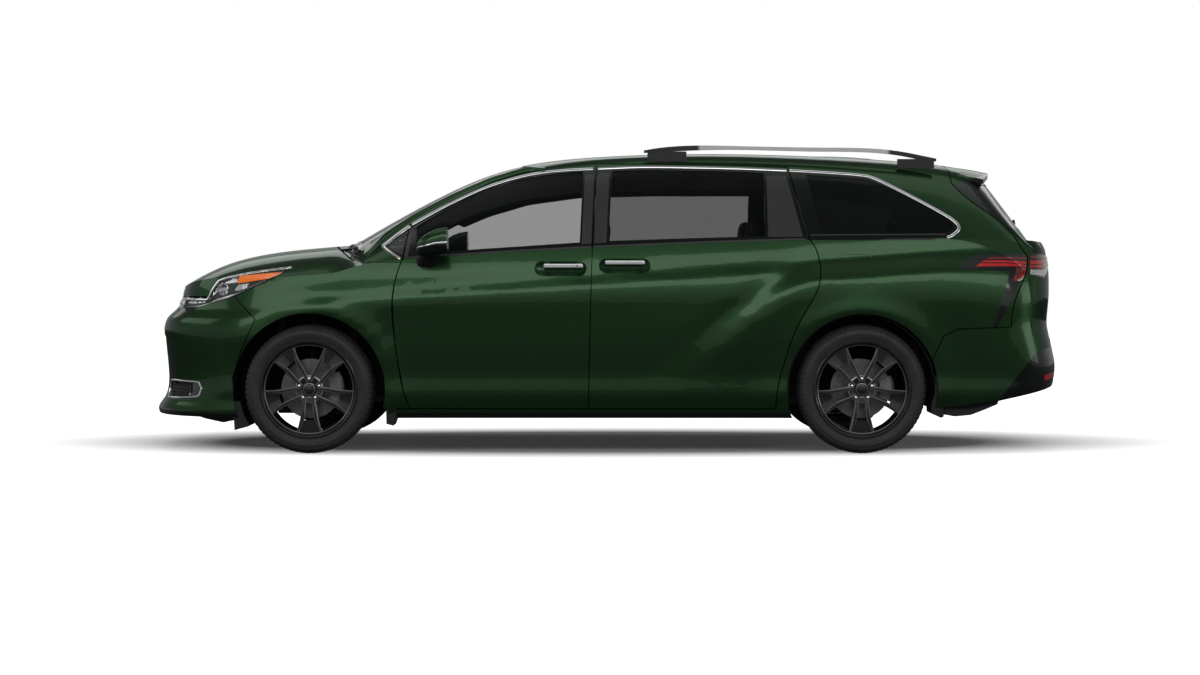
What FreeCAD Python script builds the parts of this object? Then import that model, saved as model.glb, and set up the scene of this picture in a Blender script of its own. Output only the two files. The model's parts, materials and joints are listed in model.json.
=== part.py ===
# A seven-seat minivan: unibody shell, hinged front doors, sliding rear doors, hood, tailgate,
# running gear and a trimmed cabin. Millimetres, +Z up, the vehicle faces -X and its left side is -Y.
# The origin lies on the ground, under the middle of its length and width.
import FreeCAD, Part
import math
import os
from FreeCAD import Vector

os.makedirs("parts", exist_ok=True)

# Overall sizes
wheelbase = 3060.0
front_overhang = 958.0
rear_overhang = 1153.0
body_width = 1974.0
roof_height = 1692.0
sill_height = 198.0
track = 1700.0

# Wheels
tyre_radius = 357.0
tyre_width = 238.0
rim_radius = 268.0
arch_radius = 422.0

# Walls and gaps
skin = 22.0
door_wall = 105.0
roof_wall = 45.0
frame_wall = 48.0
gap = 5.0
door_gap = 6.0
gate_gap = 6.0
glass = 5.0

# Where the axles stand
body_length = front_overhang + wheelbase + rear_overhang
front_axle = -body_length / 2 + front_overhang
rear_axle = front_axle + wheelbase

# The outlines below are drawn on a body of these sizes, and along, across and upright carry them to this one.
drawn_wheelbase = 3060.0
drawn_front = 958.0
drawn_rear = 1153.0
drawn_width = 1974.0
drawn_roof = 1692.0
drawn_front_axle = -1627.5
drawn_rear_axle = 1432.5


def along(x):
    """A drawn x, moved so that what sits by an axle stays by it."""
    if x < drawn_front_axle:
        return front_axle + (x - drawn_front_axle) * front_overhang / drawn_front
    if x > drawn_rear_axle:
        return rear_axle + (x - drawn_rear_axle) * rear_overhang / drawn_rear
    return front_axle + (x - drawn_front_axle) * wheelbase / drawn_wheelbase


def across(y):
    return y * body_width / drawn_width


def upright(z):
    """A drawn z. Below the axles nothing moves, above them the body stretches to the roof."""
    low = 360.0
    if z < low:
        return z
    return low + (z - low) * (roof_height - low) / (drawn_roof - low)


def smooth(table):
    """A function through a table of (place, value) pairs, with no overshoot between them."""
    places = [p for p, v in table]
    values = [v for p, v in table]
    steps = [(values[i + 1] - values[i]) / (places[i + 1] - places[i]) for i in range(len(table) - 1)]
    slopes = [steps[0]]
    for before, after in zip(steps, steps[1:]):
        slopes.append(0.0 if before * after <= 0 else 2 * before * after / (before + after))
    slopes.append(steps[-1])

    def value(p):
        if p <= places[0]:
            return values[0] + slopes[0] * (p - places[0])
        if p >= places[-1]:
            return values[-1] + slopes[-1] * (p - places[-1])
        i = max(k for k in range(len(places) - 1) if places[k] <= p)
        span = places[i + 1] - places[i]
        t = (p - places[i]) / span
        return (
            values[i] * (1 + 2 * t) * (1 - t) ** 2
            + slopes[i] * span * t * (1 - t) ** 2
            + values[i + 1] * t * t * (3 - 2 * t)
            + slopes[i + 1] * span * t * t * (t - 1)
        )

    return value


def step(t):
    """0 below 0, 1 above 1 and an even S between."""
    t = min(1.0, max(0.0, t))
    return t * t * (3 - 2 * t)


def bump(t):
    return math.exp(-t * t)


# Side view of the body on its centre line: front and rear, x at each z
nose_x = smooth([(120, -2500), (170, -2560), (205, -2592), (240, -2584), (300, -2538), (380, -2524), (480, -2530),
                 (600, -2544), (690, -2553), (750, -2528), (800, -2468), (860, -2448), (920, -2432), (1000, -2400),
                 (1100, -2380), (1250, -2370)])
tail_x = smooth([(120, 2380), (200, 2420), (280, 2545), (370, 2578), (470, 2592), (530, 2584), (610, 2566),
                 (720, 2545), (880, 2560), (1000, 2562), (1080, 2552), (1130, 2548), (1170, 2530), (1230, 2480),
                 (1300, 2440)])
# Half width of the body's side at each z
side_y = smooth([(120, 912), (200, 938), (280, 954), (340, 962), (420, 957), (520, 962), (640, 968), (760, 970),
                 (860, 968), (930, 960), (1000, 946), (1080, 924), (1150, 902), (1250, 870)])
# How far the front and rear turn in before the side runs straight, and how square those corners are
front_turn = smooth([(120, 700), (300, 760), (600, 800), (700, 840), (900, 900), (1250, 950)])
rear_turn = smooth([(120, 420), (400, 430), (600, 450), (900, 520), (1250, 620)])
front_square = 2.7
rear_square = 3.3
# Height of the belt line, and of the hood on the centre line and at its edge
belt_z = smooth([(-1330, 1058), (-1107, 1074), (-848, 1094), (-583, 1112), (-319, 1127), (-56, 1141), (577, 1167),
                 (1131, 1184), (1904, 1192), (2300, 1186), (2420, 1180), (2560, 1165)])
hood_z = smooth([(-2620, 780), (-2500, 862), (-2421, 920), (-2333, 978), (-2232, 1030), (-2164, 1058), (-2096, 1078),
                 (-1994, 1101), (-1791, 1130), (-1610, 1146), (-1475, 1158), (-1330, 1164)])
hood_edge_z = smooth([(-2620, 735), (-2500, 800), (-2400, 850), (-2300, 890), (-2200, 930), (-2060, 972),
                      (-1900, 1008), (-1700, 1040), (-1500, 1057), (-1330, 1062)])


def haunch(x, z):
    """Outward swell over the rear wheel, with a crest that sweeps up from the rear door's foot."""
    crest = 1010 - 600 * step((1240 - x) / 1100) ** 1.0 + 45 * step((x - 1240) / 700)
    rise = step((x - 150) / 900)
    below = step((crest - z + 25) / 75)
    fade = 1 - 0.75 * step((crest - z - 60) / 420)
    over = -9 * bump((z - crest - 60) / 45) * rise
    return 21 * rise * below * fade * (1 - 0.6 * step((x - 2050) / 350)) + over


def flares(x, z):
    """The rolled lips round the wheel arches."""
    out = 0.0
    for axle, size in ((drawn_front_axle, 16), (drawn_rear_axle, 13)):
        r = math.hypot(x - axle, z - tyre_radius)
        out += size * bump((r - arch_radius - 22) / 46)
    return out


def shoulder(x, z):
    """The crease that rises gently from the front arch to the tail lamp."""
    line = 868 + (x + 1310) * 0.068
    here = step((x + 1900) / 500) * (1 - 0.6 * step((x - 1700) / 600))
    return here * (7 * step((line - z + 20) / 40) * (1 - step((line - z) / 230)) - 5 * bump((z - line - 45) / 40))


def side_swell(x, z):
    return haunch(x, z) + flares(x, z) + shoulder(x, z)


ring_heights = [120, 175, 215, 250, 290, 330, 370, 410, 450, 490, 530, 570, 610, 650, 690, 725, 755, 785, 815, 845, 875,
                905, 935, 965, 995, 1025, 1055, 1085, 1115, 1150, 1190, 1250]
cap_steps = 9
side_steps = 44


def ring_half(z, inset=0.0, plain=False):
    """Left half of the body's outline at height z, from the front centre round to the rear centre."""
    front, rear, half = nose_x(z) + inset, tail_x(z) - inset, side_y(z) - inset
    turn, back = front_turn(z), rear_turn(z)
    points = []
    for k in range(cap_steps):
        a = math.pi / 2 * k / cap_steps
        points.append((front + turn * (1 - math.cos(a) ** (2 / front_square)), half * math.sin(a) ** (2 / front_square)))
    start, end = front + turn, rear - back
    for k in range(side_steps + 1):
        points.append((start + (end - start) * k / side_steps, half))
    for k in range(cap_steps - 1, -1, -1):
        a = math.pi / 2 * k / cap_steps
        points.append((rear - back * (1 - math.cos(a) ** (2 / rear_square)), half * math.sin(a) ** (2 / rear_square)))
    if plain:
        return points
    shaped = []
    for x, y in points:
        share = step((y / half - 0.55) / 0.4)
        shaped.append((x, y + share * side_swell(x, z)))
    return shaped


def carried(x, y, z):
    return Vector(along(x), across(y), upright(z))


def ring_grid(inset=0.0, plain=False):
    """Poles of the lower body's skin: one row for each place round it, one column for each height."""
    columns = []
    for z in ring_heights:
        left = ring_half(z, inset, plain)
        right = [(x, -y) for x, y in reversed(left[1:-1])]
        columns.append([carried(x, -y, z) for x, y in left + right])
    return [[column[i] for column in columns] for i in range(len(columns[0]))]


def spline_face(poles, around=False):
    """A smooth cubic face that follows a grid of poles."""
    nu, nv = len(poles), len(poles[0])
    knots_u = list(range(nu + 1)) if around else list(range(nu - 2))
    mults_u = [1] * (nu + 1) if around else [4] + [1] * (nu - 4) + [4]
    knots_v = list(range(nv - 2))
    mults_v = [4] + [1] * (nv - 4) + [4]
    surface = Part.BSplineSurface()
    surface.buildFromPolesMultsKnots(poles, mults_u, mults_v, knots_u, knots_v, around, False, 3, 3)
    return Part.Face(surface)


def ring_solid(poles):
    """Closes the lower skin with a flat floor and lid."""
    side = spline_face(poles, True)
    ends = []
    for edge in side.Edges:
        if edge.isClosed() and abs(edge.BoundBox.ZLength) < 0.01:
            ends.append(Part.Face(Part.Wire([edge])))
    shell = Part.Shell([side] + ends)
    shell.sewShape()
    return Part.Solid(shell)


def inset_grid(poles, depth, around=False):
    """The same poles moved inwards, square to the skin."""
    nu, nv = len(poles), len(poles[0])
    moved = []
    for i in range(nu):
        row = []
        for j in range(nv):
            if around:
                du = poles[(i + 1) % nu][j] - poles[i - 1][j]
            else:
                du = poles[min(i + 1, nu - 1)][j] - poles[max(i - 1, 0)][j]
            dv = poles[i][min(j + 1, nv - 1)] - poles[i][max(j - 1, 0)]
            out = du.cross(dv)
            if around and j in (0, nv - 1):
                out.z = 0
            out.normalize()
            row.append(poles[i][j] - out * depth)
        moved.append(row)
    return moved



# Greenhouse stations from the windscreen's foot to the tail: belt, cant rail and centre line of each
greenhouse_stations = [
    ((-1330, 1060), (-1290, 850, 1105), (-1490, 1150)),
    ((-1150, 1070), (-1130, 800, 1215), (-1330, 1245)),
    ((-980, 1082), (-960, 765, 1315), (-1160, 1342)),
    ((-780, 1098), (-760, 735, 1415), (-975, 1440)),
    ((-560, 1112), (-540, 710, 1505), (-780, 1535)),
    ((-330, 1126), (-310, 690, 1575), (-560, 1612)),
    ((-80, 1140), (-60, 680, 1622), (-290, 1658)),
    ((250, 1153), (260, 680, 1640), (120, 1684)),
    ((600, 1167), (600, 680, 1638), (560, 1694)),
    ((950, 1180), (950, 680, 1628), (960, 1688)),
    ((1300, 1190), (1300, 680, 1610), (1340, 1674)),
    ((1600, 1192), (1600, 675, 1588), (1700, 1654)),
    ((1850, 1192), (1850, 665, 1562), (2000, 1627)),
    ((2050, 1192), (2020, 655, 1530), (2180, 1590)),
    ((2150, 1188), (2110, 690, 1470), (2245, 1505)),
    ((2240, 1180), (2200, 735, 1370), (2330, 1385)),
    ((2320, 1165), (2290, 775, 1260), (2425, 1250)),
    ((2380, 1140), (2360, 800, 1170), (2490, 1150)),
]


def greenhouse_grid():
    """Poles of the glasshouse skin: one row per station, each from the left belt over the roof to the right."""
    rows = []
    for (xb, zb), (xc, yc, zc), (xt, zt) in greenhouse_stations:
        yb = side_y(zb) - 3
        half = [(xb, yb, zb), ((xb + xc) / 2, (yb + yc) / 2 + 14, (zb + zc) / 2), (xc, yc, zc)]
        for share, rise in ((0.74, 0.62), (0.4, 0.92)):
            half.append((xc + (xt - xc) * (1 - share * share), yc * share, zc + (zt - zc) * rise))
        left = [carried(x, -y, z) for x, y, z in half]
        right = [carried(x, y, z) for x, y, z in reversed(half)]
        rows.append(left + [carried(xt, 0, zt)] + right)
    return rows


def deck(x, y):
    """Height of the hood and, behind it, of the belt."""
    s = min(1.15, abs(y) / 905)
    hood = hood_edge_z(x) + (hood_z(x) - hood_edge_z(x)) * (1 - s ** 2.4) - 30 * (max(0.0, s - 0.8) / 0.2) ** 2
    back = step((x + 1480) / 180)
    return hood * (1 - back) + belt_z(x) * back


def deck_grid(drop=0.0):
    rows = []
    for i in range(54):
        x = -2680 + i * 100
        rows.append([carried(x, -1100 + k * 100, deck(x, -1100 + k * 100) - drop) for k in range(23)])
    return rows


def prism_below(poles, depth):
    """Everything under a sheet, down to the given depth."""
    return spline_face(poles).extrude(Vector(0, 0, -depth))


def block(x0, x1, y0, y1, z0, z1):
    low, high = carried(x0, y0, z0), carried(x1, y1, z1)
    size = high - low
    return Part.makeBox(size.x, size.y, size.z, low)


def loop(runs, place):
    """A closed wire: a run of two points is a straight line, a longer one a smooth curve."""
    edges = []
    for run in runs:
        points = [place(a, b) for a, b in run]
        if len(points) == 2:
            edges.append(Part.makeLine(points[0], points[1]))
        else:
            curve = Part.BSplineCurve()
            curve.interpolate(points)
            edges.append(curve.toShape())
    return Part.Wire(edges)


def cut_face(runs, place, grow=0.0):
    """The face inside an outline, or a larger one whose edge lies that far outside it."""
    face = Part.Face(loop(runs, place))
    if not grow:
        return face
    edges = []
    for edge in face.makeOffset2D(grow).OuterWire.OrderedEdges:
        if edge.Curve.TypeId in ("Part::GeomLine", "Part::GeomCircle"):
            edges.append(edge)
        else:
            curve = Part.BSplineCurve()
            curve.interpolate(edge.discretize(14))
            edges.append(curve.toShape())
    return Part.Face(Part.Wire(edges))


def side_prism(runs, grow=0.0, start=-1150, end=-420):
    """An outline drawn in side view, carried across from start to end."""
    face = cut_face(runs, lambda x, z: carried(x, start, z), grow)
    return face.extrude(Vector(0, across(end) - across(start), 0))


def plan_prism(runs, grow=0.0, start=0, end=2000):
    face = cut_face(runs, lambda x, y: carried(x, y, start), grow)
    return face.extrude(Vector(0, 0, upright(end) - upright(start)))


def front_prism(runs, grow=0.0, start=-2700, end=-300):
    face = cut_face(runs, lambda y, z: carried(start, y, z), grow)
    return face.extrude(Vector(along(end) - along(start), 0, 0))


def straight(points):
    """The runs of a polygon."""
    return [[points[i], points[(i + 1) % len(points)]] for i in range(len(points))]


def mirrored(shape):
    return shape.mirror(Vector(0, 0, 0), Vector(0, 1, 0))


def both(shape):
    return Part.Compound([shape, mirrored(shape)])


def joined(shapes):
    whole = shapes[0].fuse(shapes[1:]) if len(shapes) > 1 else shapes[0]
    return whole.removeSplitter()


def rod(start, end, radius, bore=0.0):
    """A round bar between two points of the finished frame."""
    a, b = Vector(*start), Vector(*end)
    bar = Part.makeCylinder(radius, (b - a).Length, a, b - a)
    return bar.cut(Part.makeCylinder(bore, (b - a).Length + 2, a - (b - a).normalize(), b - a)) if bore else bar


def lump(shape, least=1000.0):
    """Drops slivers and gives the solids back as one shape."""
    solids = [s for s in shape.Solids if s.Volume > least]
    return solids[0] if len(solids) == 1 else Part.Compound(solids)


def largest(shape, count=1):
    """The biggest solids of a shape, without the slivers beside them."""
    solids = sorted(shape.Solids, key=lambda s: -s.Volume)[:count]
    return solids[0] if count == 1 else Part.Compound(solids)


def save(name, shape):
    shape = lump(shape)
    if not shape.Solids or not shape.isValid():
        print("fault:", name, len(shape.Solids), shape.isValid())
    shape.exportStep("parts/" + name + ".step")
    print(name, len(shape.Solids), round(shape.Volume / 1e6, 2))


# Outlines in side view: (x, z) of the left side
front_door_front = [(-1107, 1076), (-1150, 940), (-1161, 860), (-1144, 603), (-1098, 340), (-1067, 255)]
front_door_rear = [(-84, 252), (-75, 700), (-62, 1150)]
front_door_top = [(-38, 1612), (-235, 1592), (-414, 1566), (-637, 1503), (-858, 1403), (-1075, 1282)]
slide_door_rear = [(1035, 1590), (1140, 1189), (1193, 1075), (1189, 943), (1117, 796), (1048, 664), (1006, 539),
                   (976, 437), (954, 299), (950, 252)]


def front_door_runs():
    return [front_door_front, [front_door_front[-1], front_door_rear[0]],
            [front_door_rear[0], front_door_rear[1], front_door_rear[2]], [front_door_rear[2], front_door_top[0]],
            front_door_top, [front_door_top[-1], front_door_front[0]]]


def slide_door_runs():
    shut = gap
    top = [(1035, 1590), (766, 1600), (497, 1606), (229, 1609), (-38 + shut, 1612)]
    front = [(-62 + shut, 1150), (-75 + shut, 700), (-84 + shut, 252)]
    return [slide_door_rear[:2], slide_door_rear[1:9], slide_door_rear[8:], [slide_door_rear[-1], front[-1]],
            list(reversed(front)), [front[0], top[-1]], list(reversed(top))]


front_window = [[(-1040, 1110), (-583, 1140), (-130, 1170)], [(-130, 1170), (-112, 1570)],
                [(-112, 1570), (-235, 1562), (-414, 1534), (-637, 1470), (-858, 1370), (-1040, 1262)],
                [(-1040, 1262), (-1040, 1110)]]
slide_window = [[(30, 1178), (577, 1196), (900, 1204)], [(900, 1204), (900, 1560)],
                [(900, 1560), (766, 1567), (497, 1573), (229, 1577), (50, 1572)], [(50, 1572), (30, 1178)]]
quarter_window = [[(1215, 1218), (1890, 1222)], [(1890, 1222), (1945, 1250), (1900, 1310)],
                  [(1900, 1310), (1789, 1372), (1590, 1478), (1476, 1526)], [(1476, 1526), (1275, 1541), (1140, 1550)],
                  [(1140, 1550), (1215, 1218)]]
tailgate_runs = [[(1962, 1760), (1962, 1508)],
                 [(1962, 1508), (2117, 1361), (2259, 1239), (2317, 1147), (2352, 1095)],
                 [(2352, 1095), (2345, 1000), (2290, 880), (2258, 745), (2258, 700)], [(2258, 700), (2300, 640)],
                 [(2300, 640), (2700, 640)], [(2700, 640), (2700, 1760)], [(2700, 1760), (1962, 1760)]]
rear_lift_runs = straight([(1700, 100), (1700, 262), (2040, 262), (2300, 318), (2700, 400), (2700, 100)])
rear_bumper_runs = straight([(1880, 650), (1960, 690), (2258, 700), (2300, 640), (2700, 640), (2700, 150), (1780, 150),
                             (1800, 480)])
front_bumper_runs = straight([(-2700, 150), (-1990, 150), (-2040, 300), (-2055, 420), (-2010, 560), (-1925, 745),
                              (-2048, 868), (-2170, 835), (-2290, 800), (-2700, 800)])
headlamp_runs = [[(-2330, 800), (-2290, 805), (-2170, 838), (-2048, 873), (-1960, 912), (-1850, 962), (-1722, 1040)],
                 [(-1722, 1040), (-1850, 1024), (-1945, 1010), (-2060, 988), (-2150, 962), (-2240, 925),
                  (-2330, 905)], [(-2330, 905), (-2700, 905)], [(-2700, 905), (-2700, 800)],
                 [(-2700, 800), (-2330, 800)]]
tail_lamp_runs = [[(1974, 1020), (2040, 1088), (2165, 1107), (2352, 1114)], [(2352, 1114), (2345, 1000)],
                  [(2345, 1000), (2305, 943), (2225, 803), (2168, 688)], [(2168, 688), (2147, 690)],
                  [(2147, 690), (2200, 850), (2247, 1010)], [(2247, 1010), (1974, 1020)]]
windscreen_runs = [[(-752, 1112), (-400, 1168), (0, 1185), (400, 1168), (752, 1112)], [(752, 1112), (568, 1590)],
                   [(568, 1590), (300, 1612), (0, 1620), (-300, 1612), (-568, 1590)], [(-568, 1590), (-752, 1112)]]
rear_glass_runs = [[(-700, 1262), (0, 1250), (700, 1262)], [(700, 1262), (600, 1500)], [(600, 1500), (-600, 1500)],
                   [(-600, 1500), (-700, 1262)]]
hood_runs = [[(-2436, 0), (-2428, -300), (-2395, -560), (-2330, -700), (-2200, -775)],
             [(-2200, -775), (-1900, -815), (-1600, -825), (-1400, -800)],
             [(-1400, -800), (-1470, -600), (-1535, -300), (-1555, 0), (-1535, 300), (-1470, 600), (-1400, 800)],
             [(-1400, 800), (-1600, 825), (-1900, 815), (-2200, 775)],
             [(-2200, 775), (-2330, 700), (-2395, 560), (-2428, 300), (-2436, 0)]]

# Where the moving parts turn
door_hinge = (-1252, -905)
hood_hinge = (-1290, 1012)
gate_hinge = (1900, 1590)
hood_strap_y = 700.0
hood_strap_room = 18.0


def skin_y(x, z):
    """Half width of the lower body's skin."""
    return side_y(z) + side_swell(x, z)


def arch_cylinder(axle, radius, start=-1150, end=-560):
    return Part.makeCylinder(radius, end - start, Vector(axle, start, tyre_radius), Vector(0, 1, 0))


def y_rod(x, z, start, end, radius, bore=0.0):
    return rod((x, start, z), (x, end, z), radius, bore)


# Whole body, solid, and the hollows inside it
deck_prism = prism_below(deck_grid(), 1300)
lower_body = ring_solid(ring_grid()).common(deck_prism)
greenhouse = prism_below(greenhouse_grid(), 700)
body = lower_body.fuse(greenhouse)
thin_hollow = ring_solid(inset_grid(ring_grid(), skin, True)).common(prism_below(deck_grid(28), 1300))
thin_skin = lower_body.cut(thin_hollow)
cabin_section = [(-862, 100), (-862, 900), (-845, 1030), (-818, 1145), (818, 1145), (845, 1030), (862, 900), (862, 100)]
cabin_plan = [(-1158, -900), (2200, -900), (2200, -862), (2340, -790), (2445, -620), (2445, 620), (2340, 790),
              (2200, 862), (2200, 900), (-1158, 900)]
cabin_low = front_prism(straight(cabin_section), 0, -1158, 2500).common(plan_prism(straight(cabin_plan), 0, 90, 1150))
roof_hollow = prism_below(inset_grid(greenhouse_grid(), roof_wall), 700).common(
    block(-1420, 2445, -1000, 1000, 1062, 1800))
walls = body.cut([cabin_low, roof_hollow])
glass_band = prism_below(inset_grid(greenhouse_grid(), 3), 480).cut(
    prism_below(inset_grid(greenhouse_grid(), 3 + glass), 480))
front_arches = both(arch_cylinder(front_axle, arch_radius))
rear_arches = both(arch_cylinder(rear_axle, arch_radius - 4))
print("body", body.isValid(), walls.isValid(), thin_skin.isValid())



def pocket(x0, x1, z, depth, reach):
    """A shallow rounded hollow for the fingers behind a handle, as wide as reach above and below."""
    radius = (reach * reach + depth * depth) / (2 * depth)
    y = -skin_y((x0 + x1) / 2, z) - (radius - depth)
    ends = (Vector(along(x0 + reach), across(y), upright(z)), Vector(along(x1 - reach), across(y), upright(z)))
    bar = Part.makeCylinder(radius, (ends[1] - ends[0]).Length, ends[0], Vector(1, 0, 0))
    return bar.fuse([Part.makeSphere(radius, end) for end in ends])


# Front doors
lean = 0.6
front_lean = [(x - lean * (975 - skin_y(x, z)), z) for x, z in front_door_front]
door_shut_face = Part.Face(loop(
    [front_lean, [front_lean[-1], (-1500, 240)], [(-1500, 240), (-1500, 1085)], [(-1500, 1085), front_lean[0]]],
    lambda x, z: carried(x, -975, z))).extrude(Vector(lean * 400, 400, 0))
pillar_side = front_prism(windscreen_runs, 40, -1700, -300)
door_prism = side_prism(front_door_runs(), 0, -1150, -606).cut(pillar_side)
door_hole = side_prism(front_door_runs(), door_gap, -1150, -599).cut(front_prism(windscreen_runs, 34, -1700, -300))
slide_hole = side_prism(slide_door_runs(), door_gap, -1150, -599)
door_solid = walls.common(door_prism).cut([door_shut_face, side_prism(front_window), pocket(-378, -92, 1037, 13, 42)])
hinge_x, hinge_y = along(door_hinge[0]), across(door_hinge[1])
door_straps = []
strap_heights = (700, 890)
for z in strap_heights:
    corners = [(-4, 13), (38, 96), (92, 96), (120, 81), (215, 42), (215, 24), (113, 63), (85, 76), (71, 82), (59, 80),
               (12, -8), (-4, 13)]
    strap = Part.Face(Part.makePolygon([Vector(hinge_x + x, hinge_y + y, z) for x, y in corners]))
    eye = rod((hinge_x, hinge_y, z), (hinge_x, hinge_y, z + 30), 16)
    bore = rod((hinge_x, hinge_y, z - 1), (hinge_x, hinge_y, z + 31), 8.25)
    door_straps.append(strap.extrude(Vector(0, 0, 30)).fuse(eye).cut(bore))
door_left = largest(door_solid).fuse(door_straps)
save("door_left", door_left)
save("door_right", mirrored(door_left))
door_glass = glass_band.common(side_prism(front_window)).cut(pillar_side)
save("door_glass_left", door_glass)
save("door_glass_right", mirrored(door_glass))

# Sliding doors
slide_prism = side_prism(slide_door_runs(), 0, -1150, -606)
slide_left = walls.common(slide_prism).cut([side_prism(slide_window), pocket(-22, 262, 1052, 13, 40)])
save("sliding_doors", both(lump(slide_left)))
save("sliding_door_glass", both(glass_band.common(side_prism(slide_window))))

# Side frames: pillars, cant rail, sill and rear quarter
windscreen_prism = front_prism(windscreen_runs, 0, -1700, -300)
bumper_prism = side_prism(rear_bumper_runs, gap, -1150, 1150)
gate_prism = side_prism(tailgate_runs, gate_gap, -1150, 1150)
tail_lamp_prism = side_prism(tail_lamp_runs, 0)
side_region = block(-1340, 2600, -1100, -805, sill_height, 1100).fuse(block(-1340, 2600, -1100, -600, 1064, 1800))
front_end = block(-1400, -1060, -1100, -560, 246, 1062).fuse(block(-1400, -1188, -1100, -560, 0, 246))
sill = body.common(block(-1188, 1010, -1100, -805, sill_height, 236))
frame_left = walls.common(side_region).fuse(sill).cut([
    door_hole, slide_hole, side_prism(quarter_window),
    windscreen_prism, bumper_prism, gate_prism, tail_lamp_prism, front_end, arch_cylinder(rear_axle, arch_radius - 4),
    block(-1345, -1312, -hood_strap_y - hood_strap_room, -hood_strap_y + hood_strap_room, 1050, 1096)])
frame_left = lump(frame_left, 100000)
save("side_frame_left", frame_left)
save("side_frame_right", mirrored(frame_left))
save("quarter_glass", both(glass_band.common(side_prism(quarter_window))))
save("windscreen", glass_band.common(windscreen_prism))
save("tail_lamps", both(walls.common(tail_lamp_prism).cut(
    [gate_prism, bumper_prism, block(1900, 2600, -800, 0, 600, 1200)])))

# Roof, with slots for the tailgate's hinge arms
gate_x, gate_z = along(gate_hinge[0]), upright(gate_hinge[1])
arm_y = 450.0
swing_radius = 70.0
swing_reach = 330.0
slots = [block(1868, 2100, side * arm_y - 19, side * arm_y + 19, 1480, 1800) for side in (-1, 1)]
roof = walls.common(block(-900, 2100, -600, 600, 1380, 1800)).cut([windscreen_prism, gate_prism] + slots)
roof_pins = [y_rod(gate_x, gate_z, side * arm_y - 24, side * arm_y + 24, 6) for side in (-1, 1)]
save("roof_panel", joined([lump(roof)] + roof_pins))

# Tailgate with its arms
rear_glass_prism = front_prism(rear_glass_runs, 0, 2000, 2600)
gate = walls.common(side_prism(tailgate_runs, 0, -1150, 1150)).cut([rear_glass_prism])
# Its front edge is hollowed round the hinge line, so that it swings past the crown of the roof
gate = gate.cut(y_rod(gate_x, gate_z, -swing_reach, swing_reach, swing_radius))
arms = []
for side in (-1, 1):
    arm = walls.common(block(1882, 1990, side * arm_y - 13, side * arm_y + 13, 1480, 1800))
    arms.append(arm.cut(y_rod(gate_x, gate_z, -700, 700, 6.2)))


def top_of(shape, x, y):
    """Height at which a shape's upper side stands over a point."""
    return shape.common(Part.makeLine(Vector(x, y, 1300), Vector(x, y, 1900))).BoundBox.ZMax


spoiler_rows = []
for k in range(6):
    row = []
    for m in range(9):
        y = -588 + 147 * m
        side = abs(y) / 588
        start = 1976
        front = top_of(greenhouse, along(start), across(y)) - 5
        end = 2246 - 95 * side * side
        tip = upright(1580 - 52 * side ** 2.2)
        share = k / 5
        row.append(Vector(along(start + (end - start) * share), across(y),
                          front + (tip - front) * share + 26 * share * (1 - share)))
    spoiler_rows.append(row)
spoiler = spline_face(spoiler_rows).extrude(Vector(0, 0, -24))
tailgate = joined([lump(gate.fuse(spoiler).cut(rear_glass_prism))] + arms)
plate_spacing = 177.8
for side in (-1, 1):
    tailgate = tailgate.cut(Part.makeCylinder(3, 120, Vector(2500, side * plate_spacing / 2, 860), Vector(1, 0, 0)))
save("tailgate", tailgate)
save("rear_glass", glass_band.common(rear_glass_prism))

# Front end
fender_region = side_prism([[(-2700, 1300), (-1345, 1300)], [(-1345, 1300), (-1345, 1058)], [(-1345, 1058), (-1000, 1058)],
                            [(-1000, 1058), (-1000, 252)], [(-1000, 252), (-2700, 252)],
                            [(-2700, 252), (-2700, 1300)]], 0, -1150, -776)
hood_gap = plan_prism(hood_runs, gap, 860, 1400)
hood_swing = hood_gap.translated(Vector(11, 0, 0))
fender = thin_skin.common(fender_region).cut([
    side_prism(front_bumper_runs, gap), side_prism(headlamp_runs, 3), hood_gap, hood_swing, door_hole,
    front_arches])
save("fenders", both(largest(fender)))
bumper_full = side_prism(front_bumper_runs, 0, -1150, 1150)
intake_runs = straight([(-470, 640), (470, 640), (390, 330), (-390, 330)])
fog_runs = straight([(-960, 304), (-960, 384), (-600, 390), (-540, 346), (-580, 298)])
intake = front_prism(intake_runs, 0, -2700, -2200)
fogs = both(front_prism(fog_runs, 0, -2700, -2292))
front_bumper = thin_skin.common(bumper_full).cut([front_arches, intake, fogs, block(-2700, -1900, -1100, 1100, 0, 201)])
save("front_bumper", front_bumper)
lamp_prism = side_prism(headlamp_runs, 0, -1150, -560)
headlamp = thin_skin.common(lamp_prism).cut(hood_gap)
save("headlamps", both(lump(headlamp)))
save("upper_grille", thin_skin.common(block(-2700, -2200, -557, 557, 800, 905)).cut(hood_gap))
bar_line = [(-2508, 0), (-2496, 250), (-2468, 470)]
bar_back = [(x + 14, y) for x, y in bar_line]
bar_runs = [[(x, -y) for x, y in reversed(bar_line)] + bar_line[1:], [bar_line[-1], bar_back[-1]],
            list(reversed(bar_back)) + [(x, -y) for x, y in bar_back[1:]],
            [(bar_back[-1][0], -bar_back[-1][1]), (bar_line[-1][0], -bar_line[-1][1])]]
bars = [plan_prism(bar_runs, 0, 322 + 42 * k, 336 + 42 * k) for k in range(8)]
bars += [block(-2504 + abs(k) * abs(k) * 3.4, -2490 + abs(k) * abs(k) * 3.4, 150 * k - 6, 150 * k + 6, 322, 630)
         for k in (-3, -2, -1, 0, 1, 2, 3)]
bars += [block(-2500, -2440, y - 12, y + 12, 322, 336) for y in (-300, 300)]
edge_runs = straight([(-490, 650), (490, 650), (412, 318), (-412, 318)])
lower_grille = joined(bars).common(front_prism(edge_runs, 0, -2700, -2200)).cut(front_bumper)
fog_inner = ring_solid(inset_grid(ring_grid(), skin + 9, True))
fog_plates = both(thin_hollow.common(front_prism(fog_runs, 9, -2700, -2280)).cut(fog_inner))
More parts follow.
